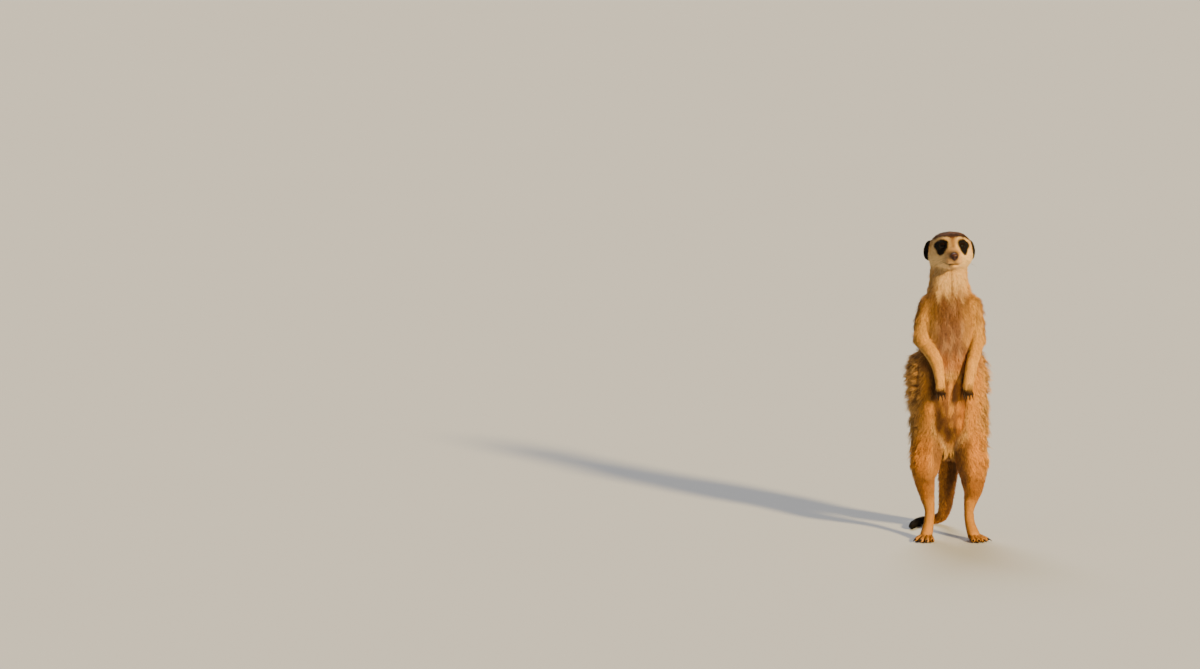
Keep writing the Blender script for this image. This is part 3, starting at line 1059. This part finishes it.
def coat_params(P, N, W, T):
    """The coat's locks at each place: how many per square mm, how long, wide and high in mm, how far they gather
    in tufts and how rough the tufts are."""
    n = len(P)
    out = np.zeros((6, n))
    for i, p in enumerate(PARTS):
        m = W[i] > 0.02
        if not m.any():
            continue
        Q, M, t, k = P[m], N[m], T[i][m], int(m.sum())
        d = p.depth(Q, t)
        nm = p.name
        gather, rough = 0.3, 0.4
        if nm == "trunk":
            z, cx, w, cy, dd = p.shape(Q)
            nx, ny = (Q[:, 0] - cx) / w, (Q[:, 1] - cy) / dd
            a = np.hypot(nx, ny) + 1e-6
            front, back = ramp(-ny / a, 0.25, 0.85) * (1 - 0.92 * flank_tufts(Q)), ramp(ny / a, 0.5, 0.95)
            hollow = belly_hollow(Q)
            L = np.interp(z, [83, 100, 150, 190, 205, 250, 270, 304], [8.5, 11.5, 13.5, 13.5, 11, 9.5, 6.6, 5])
            L = mix(mix(L, np.interp(z, [83, 110, 190, 250, 304], [9, 12.5, 13, 10.5, 6]), back),
                    np.interp(z, [83, 150, 190, 240, 265, 304], [5, 5.5, 6.5, 7.0, 5.4, 4.2]), front)
            L = mix(L, 4.2, hollow)
            wd = mix(mix(0.70, 0.80, back), 0.47, front) * np.interp(z, [250, 275], [1, 0.9])
            dn = mix(mix(1.32, 0.95, back), 1.75, front) * np.interp(z, [250, 275], [1, 1.1])
            dn = mix(dn, 1.3, hollow)
            d = mix(d, 1.3, hollow)
            rough = mix(mix(1.0, 0.8, back), np.interp(z, [180, 195, 255, 266], [0.2, 0.24, 0.3, 0.22]), front)
            rough = rough * np.interp(z, [255, 275], [1, 0.55])
            hang = ramp(-M[:, 2], 0.25, 0.75) * ramp(z, 98, 90)
            L, d, rough, wd = mix(L, 10, hang), mix(d, 6.5, hang), mix(rough, 0.85, hang), mix(wd, 0.55, hang)
            gather = 0.25 + 0.56 * rough
        elif nm == "head":
            Lh = to_head(Q)
            aa = Lh[:, 1]
            L = np.interp(aa, [0, 8, 16, 26, 36, 48, 62, 73], [1.1, 1.5, 2.0, 2.5, 3.3, 4.8, 5.8, 6])
            wd = np.interp(aa, [0, 12, 26, 40, 60], [0.2, 0.245, 0.31, 0.39, 0.52])
            dn = np.interp(aa, [0, 12, 30, 42, 60], [8.4, 7.4, 5.9, 4.0, 2.4])
            crown = ramp(Lh[:, 2], 14, 20)
            d = np.maximum(d, np.interp(aa, [0, 10, 20, 30], [0.55, 0.7, 0.9, 1.1]))
            lip = bump(Lh[:, 2], -7.1 - 0.16 * aa + 0.012 * aa * aa - 0.5, 1.5) * ramp(aa, 24, 18)
            L = L * (1 - 0.5 * lip)
            rough = mix(np.interp(aa, [20, 45], [0.1, 0.35]), 0.4, crown)
            gather = 0.12 + 0.25 * rough
        elif nm.startswith("ear"):
            L, wd, dn, rough, gather = np.full(k, 1.1), 0.26, 4.2, 0.02, 0.1
            d = np.full(k, 0.35)
        elif nm.startswith("upper_arm"):
            s = 1 if nm.endswith("l") else -1
            outer = ramp(M[:, 0] * s + 0.4 * M[:, 1], -0.1, 0.7)
            L, wd, dn, rough = mix(6.5, 8.5, outer), 0.54, 1.75, 0.3 + 0.6 * outer
        elif nm.startswith("forearm"):
            L, wd, dn, rough = mix(5.6, 3.4, t), 0.42, 2.1, mix(0.4, 0.2, t)
        elif nm.startswith("hand"):
            L, wd, dn, rough, gather = mix(3.6, 1.7, ramp(t, 0.2, 0.75)), 0.33, 3.2, 0.3, 0.25
        elif nm.startswith("thigh"):
            s = 1 if nm.endswith("l") else -1
            inner = ramp(M[:, 0] * s, 0.3, -0.4)
            face = ramp(-M[:, 1], 0.2, 0.8) * ramp(M[:, 0] * s, 0.75, 0.3)
            L = mix(mix(11.5, 5.5, np.maximum(inner, face)), 7.5, 0.5 * t)
            wd, dn = mix(mix(0.70, 0.5, inner), 0.46, face), mix(1.2, 1.6, face)
            d = mix(d, np.minimum(d, 2.6), face)
            rough = mix(mix(0.95, 0.3, inner), 0.22, face)
            gather = 0.25 + 0.54 * rough
        elif nm.startswith("shank"):
            L, wd, dn, rough = mix(7.5, 3.4, t), mix(0.60, 0.42, t), mix(1.4, 2.1, t), mix(0.5, 0.15, t)
        elif nm.startswith("foot"):
            L, wd, dn, rough, gather = mix(2.6, 1.2, ramp(t, 0.3, 0.9)), mix(0.36, 0.25, t), mix(2.6, 3.9, t), 0.1, 0.12
            d = np.maximum(d, 0.55)
        else:
            L, wd, dn, rough = mix(8.6, 4.6, t), mix(0.66, 0.5, t), 1.5, mix(0.75, 0.3, t)
        w = W[i][m]
        for j, q in enumerate((dn, L, wd, d, gather, rough)):
            out[j, m] += w * q
    # the nose pad, the eyes' openings and the soles are bare
    L = to_head(P)
    bare = np.exp(-(np.sqrt(L[:, 0] ** 2 + (L[:, 1] - 1.6) ** 2 + (L[:, 2] - 0.8) ** 2) / 4.0) ** 8)
    for s in (1, -1):
        c, g, h, v = eye_frame(s)
        q = L - c
        open_ = np.sqrt((q @ h / 4.4) ** 2 + ((q @ v) / 3.7) ** 2)
        bare = np.maximum(bare, ramp(open_, 1.12, 1.0) * (q @ g > -1) * (np.linalg.norm(q, axis=1) < 9))
        bare = np.maximum(bare, (np.linalg.norm(q, axis=1) < EYE_RADIUS + 0.4) * 1.0)
    bare = np.maximum(bare, ramp(P[:, 2], 1.4, 0.6) * (P[:, 2] < 2))
    out[0] *= 1 - bare
    return out


def lie_of(P, N, W):
    D = np.zeros_like(P)
    for i, p in enumerate(PARTS):
        m = W[i] > 0.02
        if m.any():
            D[m] += W[i][m][:, None] * unit(p.lie(P[m], N[m]))
    return D


def chart(part, P):
    """A place on the part's own unwrap: the angle round its axis and the share along it."""
    if part.name == "trunk":
        z, cx, w, cy, d = part.shape(P)
        return np.arctan2(P[:, 1] - cy, P[:, 0] - cx) / (2 * math.pi) + 0.5, (P[:, 2] - 80) / 228
    if part.name == "head":
        L = to_head(P)
        return np.arctan2(L[:, 0], L[:, 2] - 5) / (2 * math.pi) + 0.5, np.clip(L[:, 1] / 76, 0, 1)
    if part.name.startswith("ear"):
        a, u, f = part.coords(P)
        side = np.where(f > EAR_CUP * ((a * a + u * u) - 0.6), 0.25, 0.75)
        return np.clip(side + a * 0.2, 0, 1), np.clip(0.5 + u * 0.42, 0, 1)
    d, t, tan, rad = part.nearest(P)
    e1 = unit(np.cross(tan, [0.35, 0.2, 0.91]))
    e2 = np.cross(tan, e1)
    return np.arctan2((rad * e2).sum(1), (rad * e1).sum(1)) / (2 * math.pi) + 0.5, np.clip(t, 0, 1)


def piece_names(P, main):
    """The coat's pieces, named by the part of the body they cover."""
    names = np.array(ORDER)[main]
    z, L = P[:, 2], to_head(P)
    piece = np.full(len(P), "coat_tail", dtype=object)
    for side in ("l", "r"):
        for a in ("upper_arm_", "forearm_", "hand_"):
            piece[names == a + side] = "coat_foreleg_" + side
        for a in ("thigh_", "shank_", "foot_"):
            piece[names == a + side] = "coat_hindleg_" + side
    t = names == "trunk"
    piece[t & (z > 252)] = "coat_neck"
    piece[t & (z <= 252) & (z > 205)] = "coat_chest"
    for lo, hi, nm in ((165, 205, "coat_flank"), (0, 165, "coat_hip")):
        m = t & (z > lo) & (z <= hi)
        piece[m & (P[:, 0] > 0)] = nm + "_l"
        piece[m & (P[:, 0] <= 0)] = nm + "_r"
    h = (names == "head") | (names == "ear_l") | (names == "ear_r")
    piece[h & (L[:, 1] < 33)] = "coat_face"
    piece[h & (L[:, 1] >= 33)] = "coat_head"
    return piece


def build_coat(v, q, n, material):
    """The coat in two layers: the locks that cover the skin, and fine longer guard hairs that stand through them."""
    W, T = part_weights(v)
    par = coat_params(v, n, W, T)
    scale = 1.0
    shag = ramp(par[5], 0.55, 0.95)
    guard = par[0] * ramp(par[1], 3.0, 6.0) * (0.12 + 0.18 * par[5] + 0.22 * shag)
    made = {}
    for layer, den in (("under", par[0] * (0.96 - 0.14 * shag)), ("guard", guard)):
        P, N = scatter(v, q, n, den * scale, 7 if layer == "under" else 8)
        k = len(P)
        W, T = part_weights(P)
        _, length, width, high, gather, rough = coat_params(P, N, W, T)
        rng = np.random.default_rng(9 if layer == "under" else 10)
        tip, root, gz = coat_colours(P, N, W, T)
        D = lie_of(P, N, W)
        main = W.argmax(0)
        shag = ramp(rough, 0.55, 0.95)
        stand = np.zeros(k)
        if layer == "under":
            height = high * rng.uniform(0.66, 1.08, k) * (1 - 0.42 * shag)
            length = length * rng.uniform(0.72, 1.18, k)
            width = width * rng.uniform(0.75, 1.2, k) / math.sqrt(scale)
        else:
            reach = rng.random(k)
            height = high * mix(0.8 + 0.45 * reach, 0.58 + 0.95 * reach ** 2.4, shag)
            length = length * mix(1.0 + 0.35 * reach, 0.92 + 0.6 * reach ** 2, shag)
            width = width * rng.uniform(0.42, 0.62, k)
            tip = dimmed(tip * (1.14 + 0.14 * rng.random(k) + 0.2 * shag * rng.random(k))[:, None], 0.9)
            stand = np.where(reach > 0.84, 5.6, 1.0) * rng.random(k) * np.clip(rough, 0, 1) ** 1.5 + 0.4 * rough
            gather, rough = gather * 0.45, rough + 0.25
        # at the crotch and under the rump the hair hangs below the trunk's end
        hang = ramp(-N[:, 2], 0.15, 0.6) * ramp(P[:, 2], 102, 96) * (main == 0)
        height = mix(height, 4.5 + 4.5 * rng.random(k), hang)
        length = mix(length, 9.5, hang)
        stand = mix(stand, 5.5 * rng.random(k) * (0.5 + 0.5 * ramp(P[:, 0], -8, -3)), hang)
        low = blend(rep(PALE, k), rep(TAN, k), ramp(P[:, 1], -4, 14))
        tip, root = blend(tip, low, 0.8 * hang), blend(root, low * 0.5, 0.8 * hang)
        piece = piece_names(P, main)
        for nm in sorted(set(piece)):
            m = np.where(piece == nm)[0]
            rings = 2
            V, F, C, Nn = tufts(P[m], N[m], D[m], length[m], height[m], width[m], tip[m], root[m], gz[m],
                                np.random.default_rng(100 + len(nm) + len(m) % 97), rings, gather[m], rough[m], stand[m])
            made.setdefault(nm, []).append((V, F, C, Nn, P[m], main[m], rings))
    pieces, counts = [], {}
    for nm, layers in sorted(made.items()):
        # a patch of the unwrap for each lock, at its root's place; the parts of the body side by side
        parts_here = sorted(set(np.concatenate([la[5] for la in layers])))
        Vs, Fs, Cs, Ns, UVs, base = [], [], [], [], [], 0
        for V, F, C, Nn, P, main, rings in layers:
            uvr = np.zeros((len(P), 2))
            for c, pi in enumerate(parts_here):
                mm = main == pi
                if mm.any():
                    cu, cv = chart(PARTS[pi], P[mm])
                    uvr[mm, 0] = (c + 0.03 + 0.94 * cu) / len(parts_here)
                    uvr[mm, 1] = cv
            per = 3 * rings + 1
            off = np.zeros((per, 2))
            for j in range(rings):
                off[3 * j:3 * j + 3, 1] = 0.003 * j / rings
                off[3 * j:3 * j + 3, 0] = (-0.0012, 0.0012, 0.0)
            off[-1] = (0, 0.003)
            Vs.append(V)
            Fs.append(F + base)
            Cs.append(C)
            Ns.append(Nn)
            UVs.append((uvr, off))
            base += len(V)
        lo = min(u[:, 1].min() for u, _ in UVs)
        hi = max(u[:, 1].max() for u, _ in UVs)
        uv = []
        for u, off in UVs:
            u = u.copy()
            u[:, 1] = 0.01 + 0.975 * (u[:, 1] - lo) / max(hi - lo, 1e-6)
            uv.append((u[:, None, :] + off[None]).reshape(-1, 2))
        F = np.vstack(Fs)
        ob = new_mesh(nm, np.vstack(Vs), tris=F, colour=np.vstack(Cs), uv=np.clip(np.vstack(uv), 0.0005, 0.9995),
                      normals=np.vstack(Ns), material=material)
        counts[nm] = len(F)
        pieces.append(ob)
    print("coat triangles", sum(counts.values()), counts)
    return pieces


# ------------------------------------------------------------------ eyes, nose, claws, whiskers
def tube(path, radii, around, squash=1.0):
    """A closed tapering tube through points: verts and triangles."""
    path, radii = np.array(path, float), np.array(radii, float)
    n = len(path)
    tan = unit(np.gradient(path, axis=0))
    ref = np.array([0.31, 0.9, 0.3]) if abs(tan[0] @ [0.3, 0.9, 0.3]) < 0.8 else np.array([0.9, 0.1, 0.4])
    e1 = unit(np.cross(tan, ref))
    e2 = np.cross(tan, e1)
    ang = np.arange(around) / around * 2 * math.pi
    ring = path[:, None] + radii[:, None, None] * (np.cos(ang)[None, :, None] * e1[:, None] + np.sin(ang)[None, :, None] * e2[:, None] * squash)
    V = np.vstack([ring.reshape(-1, 3), path[:1], path[-1:]])
    F = []
    for i in range(n - 1):
        for j in range(around):
            a, b = i * around + j, i * around + (j + 1) % around
            c, d = a + around, b + around
            F += [(a, b, d), (a, d, c)]
    s, e = n * around, n * around + 1
    for j in range(around):
        F.append((s, (j + 1) % around, j))
        F.append((e, (n - 1) * around + j, (n - 1) * around + (j + 1) % around))
    return V, np.array(F)


def claw_path(root, heading, length, r0, bend, low=0.0, steps=9):
    d = unit(heading)
    down = unit(np.array([0, 0, -1.0]) + d * d[2])
    t = np.linspace(0, 1, steps)
    p = root + d * (length * t * (1 - 0.18 * t))[:, None] + down * (length * bend * t * t)[:, None]
    r = r0 * (1 - 0.9 * t ** 1.25)
    p[:, 2] = np.maximum(p[:, 2], low + r * 0.98)
    return p, r


def build_claws(material):
    out = []
    for side, s in (("l", 1), ("r", -1)):
        for kind in ("hand", "foot"):
            Vs, Fs, Cs, base = [], [], [], 0
            for i in range(4):
                if kind == "hand":
                    a, b = [np.array(e) for e in fingers_of(side)[i]]
                    odd = (0.03, -0.05, 0.02, 0.06)[i]
                    path, r = claw_path(b - unit(b - a) * 0.6, [(i - 1.5) * 0.07 + odd, HAND_CLAW_LEAN + odd, -0.9], (CLAW_HAND + 0.6) * (1 - (0.1, 0, 0.03, 0.14)[i]), 1.02, HAND_CLAW_BEND)
                else:
                    a, b = np.array(TOES[side][i][0]), np.array(TOES[side][i][1])
                    o = b - a
                    o[2] = 0
                    o = unit(o)
                    root = b + o * 0.2
                    root[2] = 3.1
                    path, r = claw_path(root, o + [0, 0, 0.1], CLAW_FOOT + 0.4, 1.15, 0.3, 0.15)
                V, F = tube(path, r, 10)
                along = np.concatenate([np.repeat(np.linspace(0, 1, len(path)), 10), [0, 1]])
                Cs.append(blend(rep(col(44, 29, 21), len(V)), rep(col(15, 11, 9), len(V)), ramp(along, 0.02, 0.45)))
                Vs.append(V)
                Fs.append(F + base)
                base += len(V)
            V, F = np.vstack(Vs), np.vstack(Fs)
            ob = new_mesh(f"claws_{kind}_{side}", V, tris=F, colour=np.vstack(Cs), material=material)
            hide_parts(*[f"claw_{kind}_{side}_{i}" for i in range(1, 5)])
            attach(ob, "root")
            out.append(ob)
    return out


HAND_CLAW_LEAN, HAND_CLAW_BEND = -0.34, -0.16


def build_eyes(material):
    for side, s in (("l", 1), ("r", -1)):
        c, g, h, v = eye_frame(s)
        around, rows = 56, 40
        th = np.linspace(0, math.pi, rows + 1) ** 1.0
        th = math.pi * (0.35 * np.linspace(0, 1, rows + 1) + 0.65 * np.linspace(0, 1, rows + 1) ** 1.8)
        V, C = [c + g * (EYE_RADIUS + 0.28)], [BLACK * 0.4]
        ph = np.arange(around) / around * 2 * math.pi
        for t in th[1:-1]:
            r = EYE_RADIUS + 0.28 * math.exp(-(t / 0.62) ** 4)
            p = c + r * (math.cos(t) * g[None] + math.sin(t) * (np.cos(ph)[:, None] * h + np.sin(ph)[:, None] * v))
            e = np.sqrt((math.sin(t) * np.cos(ph) / 0.47) ** 2 + (math.sin(t) * np.sin(ph) / 0.38) ** 2)
            iris = 0.5 + 0.5 * np.sin(ph * 23) * 0.4 + 0.2 * np.sin(ph * 41 + 1)
            ic = blend(rep(col(24, 13, 8), around), rep(col(44, 24, 14), around), np.clip(iris, 0, 1))
            k = ramp(e, 0.95, 1.1)
            cc = blend(rep(BLACK * 0.35, around), ic, k)
            limbus = ramp(np.full(around, t), 0.78, 0.92)
            cc = blend(cc, rep(BLACK * 0.8, around), limbus)
            white = ramp(np.full(around, t), 1.0, 1.15)
            cc = blend(cc, rep(col(60, 42, 34), around), white)
            V.append(p)
            C.append(cc)
        V.append((c - g * EYE_RADIUS)[None])
        C.append(col(96, 72, 58)[None])
        V[0], C[0] = V[0][None], C[0][None]
        V, C = np.vstack(V), np.vstack(C)
        F = []
        for j in range(around):
            F.append((0, 1 + j, 1 + (j + 1) % around))
            for i in range(rows - 2):
                a, b = 1 + i * around + j, 1 + i * around + (j + 1) % around
                F += [(a, a + around, b + around), (a, b + around, b)]
            e = 1 + (rows - 2) * around
            F.append((e + j, len(V) - 1, e + (j + 1) % around))
        F = np.array(F)
        Vw = from_head(V)
        if signed_volume(Vw, F) < 0:
            F = F[:, ::-1]
        ob = new_mesh("eyeball_" + side, Vw, tris=F, colour=C, material=material)
        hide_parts("eye_" + side)
        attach(ob, "root")


def signed_volume(V, F):
    return np.einsum("ij,ij->i", V[F[:, 0]], np.cross(V[F[:, 1]], V[F[:, 2]])).sum() / 6


def build_nose(material):
    xs = np.arange(-5.2, 5.21, 0.2)
    ys = np.arange(-3.2, 7.01, 0.2)
    zs = np.arange(-5.4, 5.21, 0.2)
    X, Y, Z = np.meshgrid(xs, ys, zs, indexing="ij")
    x, a, u = X.ravel(), Y.ravel(), Z.ravel()
    ax = np.abs(x)
    e = np.sqrt((x / 3.75) ** 2 + ((a - 2.2) / 3.5) ** 2 + ((u - 0.9) / 3.0) ** 2)
    f = (e - 1) * 3.2
    # wings of the nostrils, the foot of the pad and the groove between
    f = smin(f, (np.sqrt(((ax - 2.4) / 1.7) ** 2 + ((a - 1.6) / 2.1) ** 2 + ((u - 0.1) / 1.8) ** 2) - 1) * 1.7, 0.9)
    foot = (np.sqrt((x / 1.5) ** 2 + ((a - 1.6) / 2.2) ** 2 + ((u + 2.4) / 2.0) ** 2) - 1) * 1.5
    f = smin(f, foot, 1.0)
    hole = (np.sqrt(((ax - 1.75) / 0.85) ** 2 + ((a + 0.9) / 2.3) ** 2 + ((u + 0.25) / 0.72) ** 2) - 1) * 0.75
    slit = (np.sqrt(((ax - 3.1) / 1.25) ** 2 + ((a + 0.2) / 1.5) ** 2 + ((u + 0.15 + 0.25 * (ax - 2)) / 0.34) ** 2) - 1) * 0.34
    f = smax(f, -np.minimum(hole, slit), 0.35)
    f += 0.5 * bump(x, 0, 0.33) * ramp(u, 1.6, -0.6)
    f += 0.05 * np.sin(x * 9 + 3 * np.sin(u * 5)) * np.sin(u * 9 + 2 * np.sin(x * 6)) * ramp(u, -0.2, 1.2)
    v, q = surface(xs, ys, zs, f.reshape(X.shape))
    v = relax(v, q, 2, 0.4)
    n = vertex_normals(v, q)
    c = rep(col(60, 32, 25), len(v))
    c = blend(c, rep(col(90, 52, 41), len(v)), ramp(v[:, 2], 1.2, 3.4) * 0.4)
    c = blend(c, rep(col(40, 24, 20), len(v)), 0.8 * ramp(v[:, 2], 0.2, -2.6))
    inside = np.minimum(np.sqrt(((np.abs(v[:, 0]) - 1.75) / 1.0) ** 2 + ((v[:, 2] + 0.25) / 0.9) ** 2), 2)
    c = blend(c, rep(BLACK * 0.5, len(v)), ramp(inside, 1.15, 0.8) * ramp(v[:, 1], 3, 0) )
    ob = new_mesh("nose_pad", from_head(v), quads=q, colour=c, material=material)
    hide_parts("nose")
    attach(ob, "root")
    return ob


def build_whiskers(material):
    rng = np.random.default_rng(5)
    Vs, Fs, base = [], [], 0
    for s in (1, -1):
        spots = [(4.6 + 1.5 * j, 7.5 + 1.9 * i + 0.7 * j, -2.0 - 1.25 * j, 15 + 3.0 * i) for j in range(3) for i in range(3)]
        spots += [(6.6, 23.5, 18.0, 9), (8.2, 25.5, 18.3, 8)]
        for x, a, u, ln in spots:
            p0 = np.array([s * x, a, u])
            w = from_head(p0[None])
            for _ in range(4):
                f, g = gradient(skin_field, w)
                w = w - f[:, None] * g / np.maximum((g * g).sum(1), 0.2)[:, None]
            brow = u > 10
            d = head_dir([s * 0.95, 0.55 if not brow else 0.3, 0.9 if brow else -0.12 - 0.25 * rng.random()])
            t = np.linspace(0, 1, 8)
            droop = head_dir([0, 0.5, -0.35])
            path = w[0] + d * (ln * t)[:, None] + droop * (ln * 0.35 * t ** 2)[:, None]
            V, F = tube(path, 0.065 * (1 - 0.8 * t), 4)
            Vs.append(V)
            Fs.append(F + base)
            base += len(V)
    V, F = np.vstack(Vs), np.vstack(Fs)
    ob = new_mesh("whiskers", V, tris=F, colour=rep(DARK, len(V)), material=material)
    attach(ob, "root")


# ------------------------------------------------------------------ materials
def material(name, rough, bump_size, bump_depth, vary=0.16, spec=0.35, sheen=0.0, coat=0.0, stretch=(1, 1, 1), flat=None):
    m = bpy.data.materials.new(name)
    m.use_nodes = True
    nt = m.node_tree
    b = nt.nodes["Principled BSDF"]
    b.inputs["Roughness"].default_value = rough
    b.inputs["Specular IOR Level"].default_value = spec
    if sheen:
        b.inputs["Sheen Weight"].default_value = sheen
        b.inputs["Sheen Roughness"].default_value = 0.45
        b.inputs["Sheen Tint"].default_value = (1.0, 0.86, 0.66, 1)
    if coat:
        b.inputs["Coat Weight"].default_value = coat
        b.inputs["Coat Roughness"].default_value = 0.04
    tc = nt.nodes.new("ShaderNodeTexCoord")
    mp = nt.nodes.new("ShaderNodeMapping")
    mp.inputs["Scale"].default_value = stretch
    nt.links.new(tc.outputs["Object"], mp.inputs["Vector"])
    nz = nt.nodes.new("ShaderNodeTexNoise")
    nz.inputs["Scale"].default_value = 1000.0 / bump_size
    nz.inputs["Detail"].default_value = 3.0
    nt.links.new(mp.outputs["Vector"], nz.inputs["Vector"])
    at = nt.nodes.new("ShaderNodeAttribute")
    at.attribute_name = "Col"
    rampn = nt.nodes.new("ShaderNodeMapRange")
    rampn.inputs["From Min"].default_value, rampn.inputs["From Max"].default_value = 0.3, 0.7
    rampn.inputs["To Min"].default_value, rampn.inputs["To Max"].default_value = 1 - vary, 1 + vary
    nt.links.new(nz.outputs["Fac"], rampn.inputs["Value"])
    mul = nt.nodes.new("ShaderNodeVectorMath")
    mul.operation = "SCALE"
    nt.links.new(at.outputs["Color"], mul.inputs[0])
    nt.links.new(rampn.outputs["Result"], mul.inputs["Scale"])
    nt.links.new(mul.outputs["Vector"], b.inputs["Base Color"])
    if bump_depth:
        bp = nt.nodes.new("ShaderNodeBump")
        bp.inputs["Strength"].default_value = 1.0
        bp.inputs["Distance"].default_value = bump_depth / 1000.0
        nt.links.new(nz.outputs["Fac"], bp.inputs["Height"])
        nt.links.new(bp.outputs["Normal"], b.inputs["Normal"])
    return m


def plain(name, colour, rough):
    m = bpy.data.materials.new(name)
    m.use_nodes = True
    nt = m.node_tree
    b = nt.nodes["Principled BSDF"]
    b.inputs["Roughness"].default_value = rough
    nz = nt.nodes.new("ShaderNodeTexNoise")
    nz.inputs["Scale"].default_value = 3.0
    tc = nt.nodes.new("ShaderNodeTexCoord")
    nt.links.new(tc.outputs["Object"], nz.inputs["Vector"])
    cr = nt.nodes.new("ShaderNodeMix")
    cr.data_type = "RGBA"
    cr.inputs[6].default_value = (*[c * 0.98 for c in colour], 1)
    cr.inputs[7].default_value = (*colour, 1)
    nt.links.new(nz.outputs["Fac"], cr.inputs[0])
    nt.links.new(cr.outputs[2], b.inputs["Base Color"])
    return m


# ------------------------------------------------------------------ assembly
def eye_centre(side):
    c, _, _, _ = eye_frame(1 if side == "l" else -1)
    return from_head(c[None])[0]


lo_, hi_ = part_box("eye_l")
SHIFT = (np.array(lo_) + np.array(hi_)) / 2 * 1000.0 - eye_centre("l")
print("shift", SHIFT)

MAT_FUR = material("fur_locks", 0.7, 1.6, 0.0, vary=0.10, spec=0.16)
MAT_SKIN = material("skin_short_fur", 0.8, 0.9, 0.22, vary=0.18, spec=0.14)
MAT_EYE = material("wet_eye", 0.13, 2.0, 0.0, vary=0.05, spec=0.16)
MAT_NOSE = material("nose_leather_skin", 0.45, 0.5, 0.08, vary=0.12, spec=0.35)
MAT_CLAW = material("claw_horn_dark", 0.5, 1.2, 0.02, vary=0.2, spec=0.2)
MAT_HAIR = material("stiff_hair", 0.5, 2.0, 0.0, vary=0.05, spec=0.4)

skin_v, skin_q = build_skin()
skin_n = vertex_normals(skin_v, skin_q)
W_, T_ = part_weights(skin_v)
tip_, root_, gz_ = coat_colours(skin_v, skin_n, W_, T_)
len_ = coat_params(skin_v, skin_n, W_, T_)[1]
short = ramp(len_, 4.5, 1.6)
skin_c = blend(root_, tip_, 0.35 + 0.5 * short)
print("skin", len(skin_v), len(skin_q) * 2)
skin = new_mesh("skin", skin_v, quads=skin_q, colour=skin_c, material=MAT_SKIN)
FLESH = [n["name"] if isinstance(n, dict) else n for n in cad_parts]
FLESH = [n for n in FLESH if not n.startswith(("eye", "nose", "claw"))]
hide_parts(*FLESH)
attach(skin, "root")

for ob in build_coat(skin_v, skin_q, skin_n, MAT_FUR):
    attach(ob, "root")
build_eyes(MAT_EYE)
build_nose(MAT_NOSE)
build_claws(MAT_CLAW)
build_whiskers(MAT_HAIR)

# ------------------------------------------------------------------ floor, light, camera
me = bpy.data.meshes.new("floor")
me.from_pydata([(-40, -40, 0), (40, -40, 0), (40, 40, 0), (-40, 40, 0)], [], [(0, 1, 2, 3)])
floor = bpy.data.objects.new("floor", me)
bpy.context.scene.collection.objects.link(floor)
me.materials.append(plain("floor_pale", (0.62, 0.68, 0.78), 0.9))

world = bpy.data.worlds.new("studio")
bpy.context.scene.world = world
world.use_nodes = True
# a dim room with a pale wall low down, as bright as the floor that runs to it
wt = world.node_tree
where = wt.nodes.new("ShaderNodeTexCoord")
parts_ = wt.nodes.new("ShaderNodeSeparateXYZ")
wt.links.new(where.outputs["Generated"], parts_.inputs["Vector"])
height_ = wt.nodes.new("ShaderNodeMapRange")
height_.inputs["From Min"].default_value, height_.inputs["From Max"].default_value = 0.0, 0.09
wt.links.new(parts_.outputs["Z"], height_.inputs["Value"])
wall = wt.nodes.new("ShaderNodeMix")
wall.data_type = "RGBA"
wall.inputs[6].default_value = (0.975, 0.835, 0.617, 1)
wall.inputs[7].default_value = (0.2, 0.18, 0.158, 1)
wt.links.new(height_.outputs["Result"], wall.inputs[0])
wt.links.new(wall.outputs[2], wt.nodes["Background"].inputs["Color"])
wt.nodes["Background"].inputs["Strength"].default_value = 1.0


def light(name, az, el, power, angle, colour):
    a, e = math.radians(az), math.radians(el)
    at = Vector((math.sin(a) * math.cos(e), -math.cos(a) * math.cos(e), math.sin(e)))
    data = bpy.data.lights.new(name, "SUN")
    data.energy, data.angle, data.color = power, math.radians(angle), colour
    ob = bpy.data.objects.new(name, data)
    ob.location = at * 2
    ob.rotation_euler = at.to_track_quat("Z", "Y").to_euler()
    bpy.context.scene.collection.objects.link(ob)


light("key", 36, 21, 8.2, 5, (1.0, 0.69, 0.29))
light("rear", 190, 44, 1.9, 30, (1.0, 0.93, 0.84))

cam_data = bpy.data.cameras.new("camera")
cam_data.lens, cam_data.sensor_width = 600.0, 36.0
cam_data.clip_end = 200.0
cam = bpy.data.objects.new("camera", cam_data)
el = math.radians(8)
target = Vector((-0.3675, 0.0297, 0.2116)) + Vector([float(c) / 1000 for c in SHIFT])
before = Vector((0, math.cos(el), -math.sin(el)))
cam.location = target + Vector((0.3675, 0, 0)) - before * 21.0
view = (target - cam.location).normalized()
cam.rotation_euler = view.to_track_quat("-Z", "Y").to_euler()
bpy.context.scene.collection.objects.link(cam)
bpy.context.scene.camera = cam
